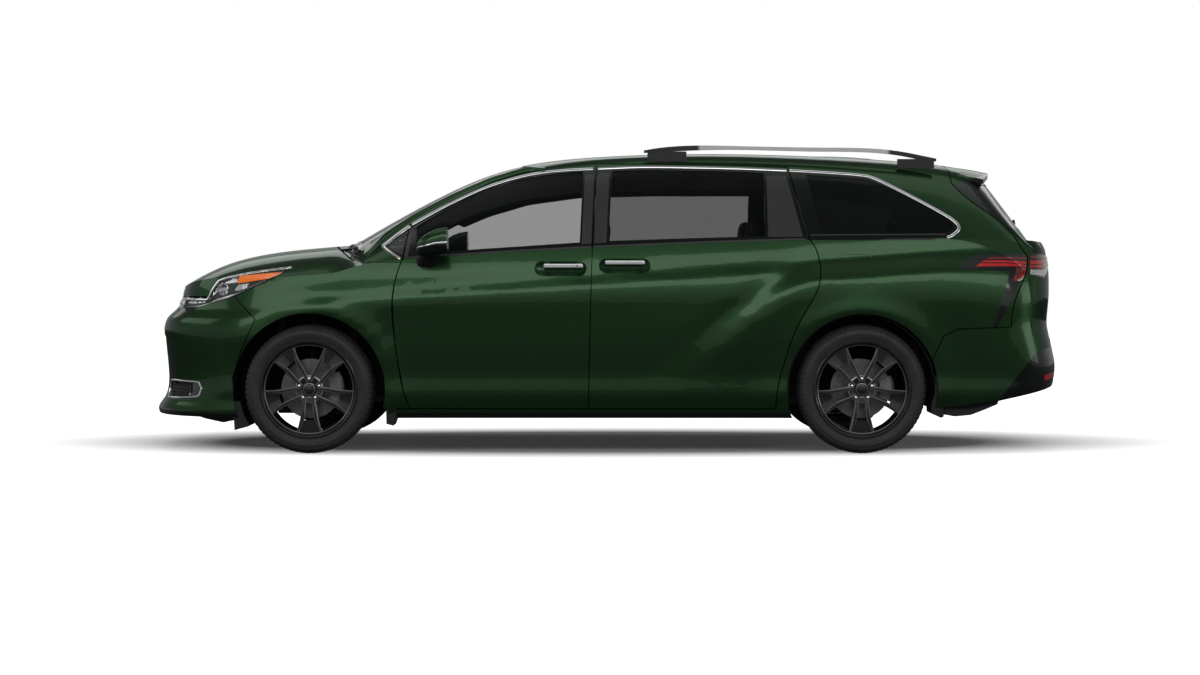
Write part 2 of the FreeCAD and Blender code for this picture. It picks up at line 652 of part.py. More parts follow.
save("lower_grille", Part.Compound(lower_grille.Solids + fog_plates.Solids))
hood_prism = plan_prism(hood_runs, 0, 870, 1400)
hood_skin = thin_skin.common(hood_prism)
hood_x, hood_z0 = along(hood_hinge[0]), upright(hood_hinge[1])
hood_straps = []
for side in (-1, 1):
    strap = block(-1480, hood_hinge[0], side * hood_strap_y - 10, side * hood_strap_y + 10, hood_hinge[1] - 10, hood_hinge[1] + 10)
    rise = block(-1490, -1460, side * hood_strap_y - 10, side * hood_strap_y + 10, hood_hinge[1] - 10, hood_hinge[1] + 60)
    rise = rise.common(prism_below(deck_grid(10), 1300))
    eye = y_rod(hood_x, hood_z0, side * hood_strap_y - 10, side * hood_strap_y + 10, 14)
    hood_straps.append(joined([strap, rise, eye]).cut(y_rod(hood_x, hood_z0, -900, 900, 6.2)))
hood = joined([lump(hood_skin)] + hood_straps)
save("hood", hood)
cowl_slots = [block(-1500, -1268, side * hood_strap_y - hood_strap_room, side * hood_strap_y + hood_strap_room, 960, 1200)
              for side in (-1, 1)]
cowl = walls.common(block(-1600, -1158, -770, 770, 1034, 1300)).cut(
    [windscreen_prism, hood_gap, hood_swing, block(-1340, -1000, -1100, -600, 1064, 1400), block(-1340, -1000, 600, 1100, 1064, 1400)]
    + cowl_slots)
save("cowl", cowl)

# Bulkhead with the hinge pillars
bulkhead = [block(-1188, -1160, -803, 803, 222, 1034)]
for side in (-1, 1):
    low, high = sorted((side * 770, side * 803))
    bulkhead.append(block(-1300, -1170, low, high, 676, 1030))
    low, high = sorted((side * 770, side * 915))
    for z in strap_heights:
        for foot in (z - 24, z + 36):
            bulkhead.append(block(-1300, -1240, low, high, foot, foot + 18))
        bulkhead.append(rod((hinge_x, side * abs(hinge_y), z - 24), (hinge_x, side * abs(hinge_y), z + 54), 8))
    for y in (side * hood_strap_y - 36, side * hood_strap_y + 36):
        bulkhead.append(block(-1310, -1170, y - 8, y + 8, 985, 1034))
    bulkhead.append(y_rod(hood_x, hood_z0, side * hood_strap_y - 44, side * hood_strap_y + 44, 6))
save("bulkhead", joined(bulkhead))


def fillet_some(shape, radius, pick):
    """Rounds the picked edges, or leaves the shape as it is where that can't be done."""
    edges = [e for e in shape.Edges if pick(e)]
    try:
        rounded = shape.makeFillet(radius, edges)
        return rounded if rounded.isValid() else shape
    except Exception:
        return shape


def rounded_block(x0, x1, y0, y1, z0, z1, radius):
    return fillet_some(block(x0, x1, y0, y1, z0, z1), radius, lambda e: True)


# Floor: front floor with a tunnel, a kick-up over the rear axle and a wall behind it
floor = [block(-1160, 1000, -803, 803, 222, 258), block(-1160, 1000, -90, 90, 258, 300),
         block(1000, 1030, -803, 803, 222, 450), block(1030, 2450, -640, 640, 420, 450),
         block(1880, 2300, -803, 803, 420, 450), block(2425, 2450, -640, 640, 352, 632)]
for side in (-1, 1):
    low, high = sorted((side * 560, side * 520))
    floor.append(block(1030, 1340, low, high, 340, 420))
    floor.append(block(1530, 2425, low, high, 340, 420))
floor_pan = joined(floor)
save("floor_pan", floor_pan)


def liner(axle, radius, inner_y, low, outer_y=-850):
    """A half drum over one wheel, open below, with a wall on its inner side."""
    drum = arch_cylinder(axle, radius, outer_y, inner_y + 8).cut(arch_cylinder(axle, radius - 8, outer_y - 10, inner_y))
    return drum.cut(block(-3000, 3000, -1200, 0, -200, low))


# Engine, the frame it sits on, and the bumper beam
save("engine", rounded_block(-2260, -1800, -380, 400, 330, 880, 30))
subframe = [block(-2440, -1188, side * 470 - 35, side * 470 + 35, 262, 330) for side in (-1, 1)]
subframe += [block(-2300, -2220, -440, 440, 262, 330), block(-1860, -1780, -440, 440, 262, 330),
             block(-2440, -2400, -520, 520, 300, 420)]
subframe += [block(-2700, -2410, side * 490 - 20, side * 490 + 20, 345, 385).common(thin_hollow) for side in (-1, 1)]
strut_low = Vector(front_axle, across(-765), 232)
strut_high = Vector(front_axle, across(-612), 960)
for side in (-1, 1):
    low, high = sorted((side * 420, side * 700))
    subframe.append(Part.Face(Part.makePolygon([
        Vector(front_axle - 190, side * 480, 222), Vector(front_axle + 190, side * 480, 222),
        Vector(front_axle + 30, side * 786, 222), Vector(front_axle - 30, side * 786, 222),
        Vector(front_axle - 190, side * 480, 222)])).extrude(Vector(0, 0, 22)))
    subframe.append(block(-1850, -1400, side * 480 - 40, side * 480 + 40, 200, 262))
    for x in (front_axle - 200, front_axle + 200):
        subframe.append(Part.makeBox(50, 60, 640, Vector(x - 25, side * 505 - 30, 300)))
    subframe.append(Part.makeBox(450, 240, 22, Vector(front_axle - 225, (side * 595) - 120, 925)))
king = (strut_high - strut_low).normalize()
pin_low = rod(strut_low - king * 16, strut_low + king * 40, 10)
bore_high = Part.makeCylinder(26.3, 200, strut_high - king * 120, king)
subframe_shape = joined(subframe + [pin_low, mirrored(pin_low)]).cut([bore_high, mirrored(bore_high), front_bumper])
save("front_subframe", subframe_shape)

# Wheel liners, against the skin outside and the frame inside
front_well = 440.0
rear_well = 412.0
strut_gap = Part.makeCylinder(80, 900, Vector(front_axle, across(-640), 400))
front_liner = liner(front_axle, front_well, -515, 300, -990).common(thin_hollow).cut(
    [block(-1192, -1000, -1100, 0, 0, 900), strut_gap, subframe_shape])
save("front_wheel_liners", both(largest(front_liner)))


# Knuckles with their struts, turning between the arm's ball pin and the tower
knuckle = [rod(strut_low + king * 22, strut_high + king * 10, 26), rod(strut_low + king * 26, strut_low + king * 200, 40),
           y_rod(front_axle, tyre_radius, across(-track / 2 * 0.94), across(-705), 45),
           y_rod(front_axle, tyre_radius, across(-track / 2) - 40, across(-700), 20),
           rod(strut_low + king * 520, strut_low + king * 532, 72), rod(strut_low + king * 530, strut_low + king * 680, 50)]
knuckle_left = joined(knuckle).cut(rod(strut_low, strut_low + king * 42, 10.3))
save("knuckle_left", knuckle_left)
save("knuckle_right", mirrored(knuckle_left))

# Rear axle beam with its spindles and links
axle = [y_rod(rear_axle, tyre_radius, -track / 2 - 40, track / 2 + 40, 20), y_rod(rear_axle, tyre_radius, -735, 735, 42)]
for side in (-1, 1):
    axle.append(block(1030, 1432, side * 600 - 30, side * 600 + 30, 260, 340))
    axle.append(Part.makeCylinder(46, 75, Vector(rear_axle, side * 590, 345)))
rear_axle_shape = joined(axle)
save("rear_axle", rear_axle_shape)
rear_liner = liner(rear_axle, rear_well, -642, 300, -900).cut([frame_left, floor_pan, slide_hole, rear_axle_shape])
save("rear_wheel_liners", both(largest(rear_liner)))


# Wheels, drawn round the y axis with the outer face at -y
def turned(profile):
    """A profile of (radius, y) points, turned about the wheel's axle line."""
    points = [Vector(0, y, r) for r, y in profile]
    return Part.Face(Part.makePolygon(points + points[:1])).revolve(Vector(0, 0, 0), Vector(0, 1, 0), 360)


half = tyre_width / 2
tyre_profile = [(rim_radius - 14, -half + 26), (rim_radius + 2, -half + 12), (rim_radius + 26, -half + 2),
                (rim_radius + 50, -half), (tyre_radius - 24, -half + 6), (tyre_radius - 7, -half + 20),
                (tyre_radius - 1, -half + 44), (tyre_radius, 0), (tyre_radius - 1, half - 44),
                (tyre_radius - 7, half - 20), (tyre_radius - 24, half - 6), (rim_radius + 50, half),
                (rim_radius + 26, half - 2), (rim_radius + 2, half - 12), (rim_radius - 14, half - 26)]
tyre = turned(tyre_profile)
rim_profile = [(20.4, -half + 52), (20.4, 10), (75, 10), (75, -half + 78), (150, -half + 52), (228, -half + 38),
               (238, -half + 60), (238, half - 14), (268, half - 10), (268, half - 22), (252, half - 28),
               (252, -half + 28), (268, -half + 22), (268, -half + 10), (256, -half + 8), (240, -half + 14),
               (150, -half + 30), (75, -half + 34), (60, -half + 30), (0, -half + 30), (0, -half + 52)]
rim = turned(rim_profile)
wide_window = [(76, 5), (92, 10), (151, 17.5), (228, 19.5)]
slot_window = [(64, 12.5), (120, 9.5), (172, 7.5)]
windows = []
for k in range(5):
    for start, edge in ((90, wide_window), (-90, slot_window)):
        corners = [(r, start + 72 * k + turn) for r, turn in edge] + [(r, start + 72 * k - turn) for r, turn in reversed(edge)]
        points = [Vector(r * math.cos(math.radians(q)), -half - 20, r * math.sin(math.radians(q))) for r, q in corners]
        windows.append(Part.Face(Part.makePolygon(points + points[:1])).extrude(Vector(0, half + 28, 0)))
disc = turned([(20.4, 8), (70, 8), (72, 12), (168, 12), (168, 34), (60, 34), (60, 20), (20.4, 20)])
rim = joined([rim.cut(windows), disc])
tyre = tyre.cut(turned([(0, -half - 5), (0, half + 5), (rim_radius - 14, half + 5), (rim_radius - 14, -half - 5)]))
tyre = tyre.cut(rim)
for name, x, side in (("fl", front_axle, -1), ("fr", front_axle, 1), ("rl", rear_axle, -1), ("rr", rear_axle, 1)):
    for part_name, shape in (("tyre", tyre), ("rim", rim)):
        placed = shape if side < 0 else mirrored(shape)
        placed = placed.translated(Vector(x, side * track / 2, tyre_radius))
        save(part_name + "_" + name, placed)

# Handles, mirrors, rails, flaps
def handle(x0, x1, z, lift, source):
    """A bar that stands off the skin on two feet."""
    y = -skin_y((x0 + x1) / 2, z)
    bar = fillet_some(block(x0, x1, y - 24, y - 10, z - 12, z + 12), 6, lambda e: True)
    feet = [block(x0 + 8, x0 + 34, y - 14, y + 30, z - 9, z + 9), block(x1 - 34, x1 - 8, y - 14, y + 30, z - 9, z + 9)]
    return joined([bar] + feet).cut(source)


front_handle = handle(-330, -112, 1040, 0, door_left)
save("door_handle_left", front_handle)
save("door_handle_right", mirrored(front_handle))
save("sliding_door_handles", both(handle(10, 230, 1058, 0, lump(slide_left))))

mirror_side = [[(-1020, 1118), (-1021, 1160), (-1002, 1204), (-950, 1240), (-890, 1251), (-850, 1251)],
               [(-850, 1251), (-848, 1128)], [(-848, 1128), (-930, 1120), (-1020, 1118)]]
mirror_plan = [[(-1020, -955), (-1019, -1030), (-985, -1120), (-920, -1158), (-850, -1168)], [(-850, -1168), (-850, -955)],
               [(-850, -955), (-1020, -955)]]
mirror_head = side_prism(mirror_side, 0, -1180, -950).common(plan_prism(mirror_plan, 0, 1000, 1400))
mirror_foot = side_prism(straight([(-1040, 1000), (-1006, 1119), (-870, 1126), (-905, 996), (-975, 992)]), 0, -1080, -900)
mirror_foot = mirror_foot.cut(front_prism(straight([(-975, 900), (-1085, 1112), (-1200, 1112), (-1200, 900)]), 0, -1100, -800))
mirror_left = largest(mirror_head.fuse(mirror_foot).cut(door_left))
save("mirror_left", mirror_left)
save("mirror_right", mirrored(mirror_left))

rail_line = [(230, 1690), (300, 1702), (700, 1716), (1200, 1706), (1700, 1680), (1800, 1660), (1878, 1644)]
rail_runs = [rail_line, [rail_line[-1], (1878, 1628)],
             [(1878, 1628), (1780, 1640), (1700, 1656), (1200, 1684), (700, 1694), (300, 1680), (230, 1676)],
             [(230, 1676), (230, 1690)]]
rail = side_prism(rail_runs, 0, -634, -606)
for x0, x1, top in ((250, 470, 1684), (1660, 1866, 1642)):
    rail = rail.fuse(block(x0, x1, -632, -608, 1590, top))
rails = rail.cut([frame_left, roof])
save("roof_rails", both(largest(rails)))
rear_bumper = thin_skin.common(side_prism(rear_bumper_runs, 0, -1150, 1150)).cut(
    [rear_arches, side_prism(rear_lift_runs, 0, -1150, 1150)])
save("rear_bumper", rear_bumper)

# Cabin
dash_runs = straight([(-1158, 700), (-1158, 1034), (-1100, 1045), (-900, 1030), (-850, 990), (-870, 900),
                      (-930, 820), (-960, 700)])
save("dashboard", side_prism(dash_runs, 0, -770, 770))
wheel_centre = Vector(along(-690), across(-380), upright(930))
tilt = Vector(0.86, 0, 0.5)
ring_bar = Part.makeTorus(180, 15, wheel_centre, tilt)
hub = Part.makeCylinder(62, 34, wheel_centre - tilt * 20, tilt)
column = Part.makeCylinder(26, 340, wheel_centre - tilt * 338, tilt)
spokes = Part.makeBox(24, 340, 22, Vector(-12, -170, -11))
spokes.rotate(Vector(0, 0, 0), Vector(0, 1, 0), -30)
spokes.translate(wheel_centre)
steering = joined([ring_bar, hub, column, spokes]).cut(side_prism(dash_runs, 0, -770, 770))
save("steering_wheel", lump(steering))


def seat(x, y, width, floor_z, squab=160):
    """A seat facing forward: squab, leaning back rest, head rest and a plain pedestal."""
    parts = []
    low, high = y - width / 2, y + width / 2
    parts.append(rounded_block(x - 250, x + 250, low, high, floor_z + 190, floor_z + 190 + squab, 35))
    back = rounded_block(0, 110, low + 8, high - 8, 0, 600, 35)
    back.rotate(Vector(0, 0, 0), Vector(0, 1, 0), 16)
    back.translate(Vector(x + 190, 0, floor_z + 210 + squab * 0.4))
    parts.append(back)
    head = rounded_block(0, 90, -125, 125, 0, 180, 30)
    head.rotate(Vector(0, 0, 0), Vector(0, 1, 0), 12)
    head.translate(Vector(x + 365, y, floor_z + 190 + squab * 0.4 + 625))
    parts.append(head)
    for side in (-1, 1):
        parts.append(rod((x + 345, y + side * 60, floor_z + 780), (x + 420, y + side * 60, floor_z + 960), 7))
    parts.append(block(x - 200, x + 200, y - 150, y + 150, floor_z, floor_z + 195))
    return joined(parts)


front_floor = 258.0
rear_floor = 450.0
save("front_seats", both(seat(-420, -400, 500, front_floor)))
save("middle_seats", both(seat(430, -400, 480, front_floor)))
save("rear_seats", seat(1370, 0, 1180, rear_floor, 130))
print("done")
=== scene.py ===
# A dark green minivan on a pale studio floor. Metres, the van faces -X and its left side is -Y.
import json
import math
import bmesh
import bpy
import numpy as np
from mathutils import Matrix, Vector
from mathutils.bvhtree import BVHTree

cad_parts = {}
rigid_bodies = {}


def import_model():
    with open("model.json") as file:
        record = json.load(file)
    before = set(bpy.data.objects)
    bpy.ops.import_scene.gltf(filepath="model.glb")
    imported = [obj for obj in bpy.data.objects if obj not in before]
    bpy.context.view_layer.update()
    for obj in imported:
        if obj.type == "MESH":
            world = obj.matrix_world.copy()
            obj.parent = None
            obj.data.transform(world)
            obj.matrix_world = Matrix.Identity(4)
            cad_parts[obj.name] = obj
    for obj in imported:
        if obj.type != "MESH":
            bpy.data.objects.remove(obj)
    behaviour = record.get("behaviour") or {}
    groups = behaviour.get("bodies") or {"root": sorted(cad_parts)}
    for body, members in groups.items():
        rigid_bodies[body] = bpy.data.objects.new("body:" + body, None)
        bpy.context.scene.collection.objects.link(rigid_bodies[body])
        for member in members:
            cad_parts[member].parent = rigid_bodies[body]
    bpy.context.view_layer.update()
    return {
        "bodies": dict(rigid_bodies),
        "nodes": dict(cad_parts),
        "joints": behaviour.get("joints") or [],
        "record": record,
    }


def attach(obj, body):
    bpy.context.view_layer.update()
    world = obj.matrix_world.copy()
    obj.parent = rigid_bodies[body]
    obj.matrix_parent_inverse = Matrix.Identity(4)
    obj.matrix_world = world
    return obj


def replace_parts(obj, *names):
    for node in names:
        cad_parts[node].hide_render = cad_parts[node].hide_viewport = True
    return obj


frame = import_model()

nodes = frame["nodes"]
frontAxle, rearAxle, hubHeight, halfTrack = -1.6275, 1.4325, 0.357, 0.85
print("frame loaded:", len(nodes), "nodes")

# Materials


def startMaterial(name):
    material = bpy.data.materials.new(name)
    material.use_nodes = True
    tree = material.node_tree
    place = tree.nodes.new("ShaderNodeTexCoord").outputs["Object"]
    return material, tree, tree.nodes["Principled BSDF"], place


def addNoise(tree, place, scale, detail=3.0, stretch=None):
    node = tree.nodes.new("ShaderNodeTexNoise")
    node.inputs["Scale"].default_value = scale
    node.inputs["Detail"].default_value = detail
    if stretch:
        mapping = tree.nodes.new("ShaderNodeMapping")
        mapping.inputs["Scale"].default_value = stretch
        tree.links.new(place, mapping.inputs["Vector"])
        place = mapping.outputs["Vector"]
    tree.links.new(place, node.inputs["Vector"])
    return node.outputs["Fac"]


def addCells(tree, place, scale, output="Distance"):
    node = tree.nodes.new("ShaderNodeTexVoronoi")
    node.inputs["Scale"].default_value = scale
    tree.links.new(place, node.inputs["Vector"])
    return node.outputs[output]


def spread(tree, value, low, high, start=0.3, end=0.7):
    node = tree.nodes.new("ShaderNodeMapRange")
    for key, number in (("From Min", start), ("From Max", end), ("To Min", low), ("To Max", high)):
        node.inputs[key].default_value = number
    tree.links.new(value, node.inputs["Value"])
    return node.outputs["Result"]


def calculate(tree, operation, first, second=0.0):
    node = tree.nodes.new("ShaderNodeMath")
    node.operation = operation
    for socket, given in zip(node.inputs, (first, second)):
        if isinstance(given, (int, float)):
            socket.default_value = given
        else:
            tree.links.new(given, socket)
    return node.outputs[0]


def times(tree, first, second):
    return calculate(tree, "MULTIPLY", first, second)


def larger(tree, first, second):
    return calculate(tree, "MAXIMUM", first, second)


def mixColours(tree, factor, first, second):
    node = tree.nodes.new("ShaderNodeMix")
    node.data_type = "RGBA"
    sockets = [s for s in node.inputs if s.enabled]
    for socket, given in zip(sockets, (factor, first, second)):
        if isinstance(given, tuple):
            socket.default_value = given if len(given) == 4 else given + (1.0,)
        elif isinstance(given, (int, float)):
            socket.default_value = given
        else:
            tree.links.new(given, socket)
    return [s for s in node.outputs if s.enabled][0]


def addBump(tree, shader, height, depth, strength=1.0):
    node = tree.nodes.new("ShaderNodeBump")
    node.inputs["Strength"].default_value = strength
    node.inputs["Distance"].default_value = depth
    tree.links.new(height, node.inputs["Height"])
    tree.links.new(node.outputs["Normal"], shader.inputs["Normal"])


def plainFinish(name, first, second, rough=(0.4, 0.5), metal=0.0, grain=900.0, depth=0.00005, patch=6.0,
                coat=0.0, stretch=None, cells=False):
    # two close tones in soft patches, a roughness that wanders, and a fine grain in relief
    material, tree, shader, place = startMaterial(name)
    wander = addNoise(tree, place, patch, 4.0)
    tree.links.new(mixColours(tree, spread(tree, wander, 0.0, 1.0), first, second),
                   shader.inputs["Base Color"])
    tree.links.new(spread(tree, addNoise(tree, place, patch * 7, 3.0, stretch), *rough),
                   shader.inputs["Roughness"])
    shader.inputs["Metallic"].default_value = metal
    shader.inputs["Coat Weight"].default_value = coat
    shader.inputs["Coat Roughness"].default_value = 0.05
    height = addCells(tree, place, grain) if cells else addNoise(tree, place, grain, 2.0, stretch)
    addBump(tree, shader, height, depth)
    return material


def addCurve(tree, value, points, low, high, top):
    # a height read from a drawn curve: value runs from low to high, the answer from 0 to top
    share = spread(tree, value, 0.0, 1.0, low, high)
    node = tree.nodes.new("ShaderNodeFloatCurve")
    line = node.mapping.curves[0]
    marks = [((x - low) / (high - low), z / top) for x, z in points]
    while len(line.points) < len(marks):
        line.points.new(0.5, 0.5)
    for point, (a, b) in zip(line.points, marks):
        point.location = (a, b)
        point.handle_type = "VECTOR"
    node.mapping.update()
    tree.links.new(share, node.inputs["Value"])
    return times(tree, node.outputs[0], top)


# Edges on the left side, x and z: the dark band that holds the side windows, and the black along the bottom
paintEdges = {
    "top": [(-1.232, 1.152), (-1.075, 1.268), (-0.858, 1.389), (-0.637, 1.489), (-0.414, 1.552),
            (-0.235, 1.575), (-0.038, 1.585), (0.229, 1.595), (0.497, 1.592), (0.766, 1.586), (1.035, 1.575),
            (1.275, 1.561), (1.476, 1.547), (1.596, 1.496), (1.789, 1.390), (1.930, 1.309), (1.984, 1.252)],
    "bottom": [(-1.232, 1.152), (-1.118, 1.080), (-0.848, 1.100), (-0.583, 1.117), (-0.319, 1.132),
               (-0.056, 1.146), (0.577, 1.172), (1.125, 1.190), (1.142, 1.181), (1.842, 1.181),
               (1.850, 1.196), (1.906, 1.197), (1.984, 1.250)],
    "sill": [(-2.62, 0.234), (-2.43, 0.232), (-2.29, 0.220), (-2.06, 0.2205), (-1.19, 0.226), (1.0, 0.226),
             (1.86, 0.245), (1.899, 0.258), (2.002, 0.2725), (2.12, 0.290), (2.190, 0.300), (2.274, 0.409),
             (2.368, 0.522), (2.41, 0.569), (2.62, 0.60)],
}


def axesOf(tree, place):
    node = tree.nodes.new("ShaderNodeSeparateXYZ")
    tree.links.new(place, node.inputs[0])
    return node.outputs[0], node.outputs[1], node.outputs[2]


def above(tree, value, limit, soft=0.002):
    # 1 where value passes the limit, 0 below it, with a short soft edge
    if isinstance(limit, (int, float)):
        return spread(tree, value, 0.0, 1.0, limit, limit + soft)
    return spread(tree, calculate(tree, "SUBTRACT", value, limit), 0.0, 1.0, 0.0, soft)


def opposite(tree, value):
    return calculate(tree, "SUBTRACT", 1.0, value)


def bodyPaint(name, *areas):
    # green with fine flakes under clear lacquer; the named areas and the faces towards the cabin are dark
    # trim, and faces that look down above z 0.9 are dark too, partly trim colour and partly painted shade of
    # the cabin and hood
    material, tree, shader, place = startMaterial(name)
    x, y, z = axesOf(tree, place)
    normalX, normalY, normalZ = axesOf(tree, place.node.outputs["Normal"])
    tone = tree.nodes.new("ShaderNodeSeparateColor")
    tree.links.new(addCells(tree, place, 2600.0, output="Color"), tone.inputs[0])
    sparkle = tone.outputs[0]
    green = mixColours(tree, sparkle, (0.019, 0.054, 0.020), (0.034, 0.088, 0.036))
    green = mixColours(tree, spread(tree, addNoise(tree, place, 1.3, 3.0), 0.0, 0.25), green,
                       (0.026, 0.069, 0.028))
    side = calculate(tree, "DIVIDE", y, larger(tree, calculate(tree, "ABSOLUTE", y), 0.001))
    inward = spread(tree, times(tree, normalY, side), 1.0, 0.0, -0.4, -0.3)
    # faces looking down above z 0.9, the headliner and hood underside, go dark: partly trim colour, partly
    # painted shade
    downwardTrimAndShade = times(tree, spread(tree, normalZ, 1.0, 0.0, -0.4, -0.3), above(tree, z, 0.9))
    inside = larger(tree, inward, downwardTrimAndShade)
    dark = None
    for area in areas:
        if area == "band":
            under = opposite(tree, above(tree, z, addCurve(tree, x, paintEdges["top"], -1.232, 1.984, 1.7)))
            over = above(tree, z, addCurve(tree, x, paintEdges["bottom"], -1.232, 1.984, 1.7))
            within = times(tree, above(tree, x, -1.231, 0.0005),
                           opposite(tree, above(tree, x, 1.983, 0.0005)))
            shape = times(tree, times(tree, under, over), within)
        elif area == "sill":
            shape = opposite(tree, above(tree, z, addCurve(tree, x, paintEdges["sill"], -2.62, 2.62, 1.0)))
        elif area == "gate":
            # round the rear glass, from its foot up to the slanting underside of the spoiler
            limit = calculate(tree, "ADD", times(tree, x, 0.29), 0.92554)
            shape = times(tree, above(tree, z, 1.248), opposite(tree, above(tree, z, limit)))
            inside = larger(tree, inside, spread(tree, normalX, 1.0, 0.0, -0.4, -0.3))
        elif area == "cowl":
            # the louvred middle; its painted ends run on from the pillars
            shape = opposite(tree, above(tree, calculate(tree, "ABSOLUTE", y), 0.60))
        elif area == "mirror":
            # the lower cap, up to a line that climbs rearwards
            limit = calculate(tree, "ADD", times(tree, x, 0.22), 1.3605)
            shape = opposite(tree, above(tree, z, limit))
            inside = above(tree, normalX, 0.85, 0.05)
        dark = shape if dark is None else larger(tree, dark, shape)
    covered = inside if dark is None else larger(tree, inside, dark)
    tree.links.new(mixColours(tree, covered, green, (0.0075, 0.0075, 0.0085)), shader.inputs["Base Color"])
    tree.links.new(times(tree, opposite(tree, covered), 0.82), shader.inputs["Metallic"])
    rough = spread(tree, sparkle, 0.26, 0.36, 0.0, 1.0)
    tree.links.new(larger(tree, rough, times(tree, inside, 0.6)), shader.inputs["Roughness"])
    shader.inputs["Coat Weight"].default_value = 0.4
    shader.inputs["Coat Roughness"].default_value = 0.02
    shader.inputs["Coat IOR"].default_value = 1.45
    shader.inputs["Specular Tint"].default_value = (0.12, 0.25, 0.13, 1.0)
    addBump(tree, shader, addNoise(tree, place, 260.0, 2.0), 0.00002, 0.6)
    return material


def tintedGlass(name, colour, alpha, density=1.45):
    # dark glass that lets part of the light straight through, with a faint waviness
    material, tree, shader, place = startMaterial(name)
    wander = addNoise(tree, place, 3.0, 2.0)
    tone = mixColours(tree, spread(tree, wander, 0.0, 1.0), colour, tuple(c * 1.35 for c in colour))
    tree.links.new(tone, shader.inputs["Base Color"])
    tree.links.new(spread(tree, addNoise(tree, place, 25.0), 0.01, 0.03), shader.inputs["Roughness"])
    shader.inputs["Alpha"].default_value = alpha
    shader.inputs["IOR"].default_value = density
    addBump(tree, shader, wander, 0.0004, 0.3)
    return material


def railFinish():
    # black ends and a silver middle
    material, tree, shader, place = startMaterial("railPaint")
    x = axesOf(tree, place)[0]
    middle = times(tree, above(tree, x, 0.53, 0.02), opposite(tree, above(tree, x, 1.60, 0.02)))
    tone = mixColours(tree, middle, (0.010, 0.010, 0.011), (0.62, 0.625, 0.63))
    tree.links.new(tone, shader.inputs["Base Color"])
    tree.links.new(times(tree, middle, 0.45), shader.inputs["Metallic"])
    tree.links.new(spread(tree, addNoise(tree, place, 60.0), 0.34, 0.46), shader.inputs["Roughness"])
    addBump(tree, shader, addNoise(tree, place, 900.0), 0.00004)
    return material


paint = bodyPaint("greenPaint", "band", "sill")
plainPaint = bodyPaint("greenPaintPlain", "sill")
gatePaint = bodyPaint("greenPaintGate", "gate")
mirrorPaint = bodyPaint("greenPaintMirror", "mirror")
cowlPaint = bodyPaint("greenPaintCowl", "cowl")
railPaint = railFinish()
glossBlack = plainFinish("glossBlack", (0.005, 0.005, 0.006), (0.008, 0.008, 0.009), (0.12, 0.2), 0.0, 700.0,
                         0.00001, 5.0, 1.0)
trimBlack = plainFinish("grainedTrim", (0.010, 0.010, 0.011), (0.017, 0.017, 0.018), (0.5, 0.66), 0.0, 1300.0,
                        0.00012, 8.0, cells=True)
wellBlack = plainFinish("wheelWell", (0.008, 0.008, 0.008), (0.014, 0.013, 0.012), (0.7, 0.85), 0.0, 500.0,
                        0.0003, 9.0)
chrome = plainFinish("chrome", (0.84, 0.85, 0.86), (0.90, 0.90, 0.91), (0.10, 0.16), 0.85, 300.0, 0.000004,
                     12.0)
satinSilver = plainFinish("satinSilver", (0.50, 0.51, 0.52), (0.58, 0.59, 0.60), (0.24, 0.34), 1.0, 900.0,
                          0.00002, 10.0, stretch=(1.0, 12.0, 12.0))
darkAlloy = plainFinish("darkAlloy", (0.040, 0.041, 0.044), (0.055, 0.056, 0.060), (0.28, 0.40), 0.85, 1600.0,
                        0.00002, 14.0, 0.6)
cutAlloy = plainFinish("cutAlloy", (0.32, 0.325, 0.335), (0.42, 0.425, 0.435), (0.30, 0.42), 0.75, 1400.0,
                       0.00002, 18.0, 0.5)
rubber = plainFinish("rubber", (0.026, 0.026, 0.027), (0.040, 0.040, 0.041), (0.52, 0.66), 0.0, 1100.0,
                     0.0001, 11.0)
castIron = plainFinish("castIron", (0.05, 0.05, 0.052), (0.09, 0.085, 0.08), (0.5, 0.7), 0.7, 420.0, 0.0003,
                       12.0)
discSteel = plainFinish("discSteel", (0.16, 0.16, 0.165), (0.25, 0.25, 0.255), (0.3, 0.5), 1.0, 700.0, 0.0001,
                        30.0)
castAluminium = plainFinish("castAluminium", (0.22, 0.22, 0.225), (0.32, 0.32, 0.325), (0.4, 0.6), 0.9, 380.0,
                            0.0003, 9.0)
underSeal = plainFinish("underSeal", (0.012, 0.012, 0.012), (0.028, 0.027, 0.026), (0.7, 0.9), 0.0, 240.0,
                        0.0008, 7.0)
cabinPlastic = plainFinish("cabinPlastic", (0.020, 0.020, 0.022), (0.032, 0.032, 0.034), (0.55, 0.7), 0.0,
                           850.0, 0.0002, 9.0, cells=True)
leather = plainFinish("leather", (0.024, 0.023, 0.024), (0.036, 0.035, 0.035), (0.42, 0.58), 0.0, 420.0,
                      0.0004, 10.0, cells=True)
carpet = plainFinish("carpet", (0.018, 0.018, 0.019), (0.034, 0.033, 0.032), (0.85, 0.95), 0.0, 1500.0,
                     0.0012, 14.0)
frontGlass = tintedGlass("frontGlass", (0.010, 0.012, 0.012), 0.28, density=1.2)
screenGlass = tintedGlass("screenGlass", (0.006, 0.012, 0.007), 0.70, density=1.18)
privacyGlass = tintedGlass("privacyGlass", (0.008, 0.009, 0.009), 0.43, density=1.2)
quarterDark = tintedGlass("quarterDark", (0.006, 0.007, 0.007), 0.80, density=1.25)
lampCover = tintedGlass("lampCover", (0.25, 0.27, 0.28), 0.05)
amberLensGlow = plainFinish("amberLensGlow", (0.75, 0.13, 0.006), (0.90, 0.20, 0.012), (0.12, 0.2), 0.0, 500.0,
                        0.0002, 40.0, 1.0, stretch=(1.0, 1.0, 6.0))
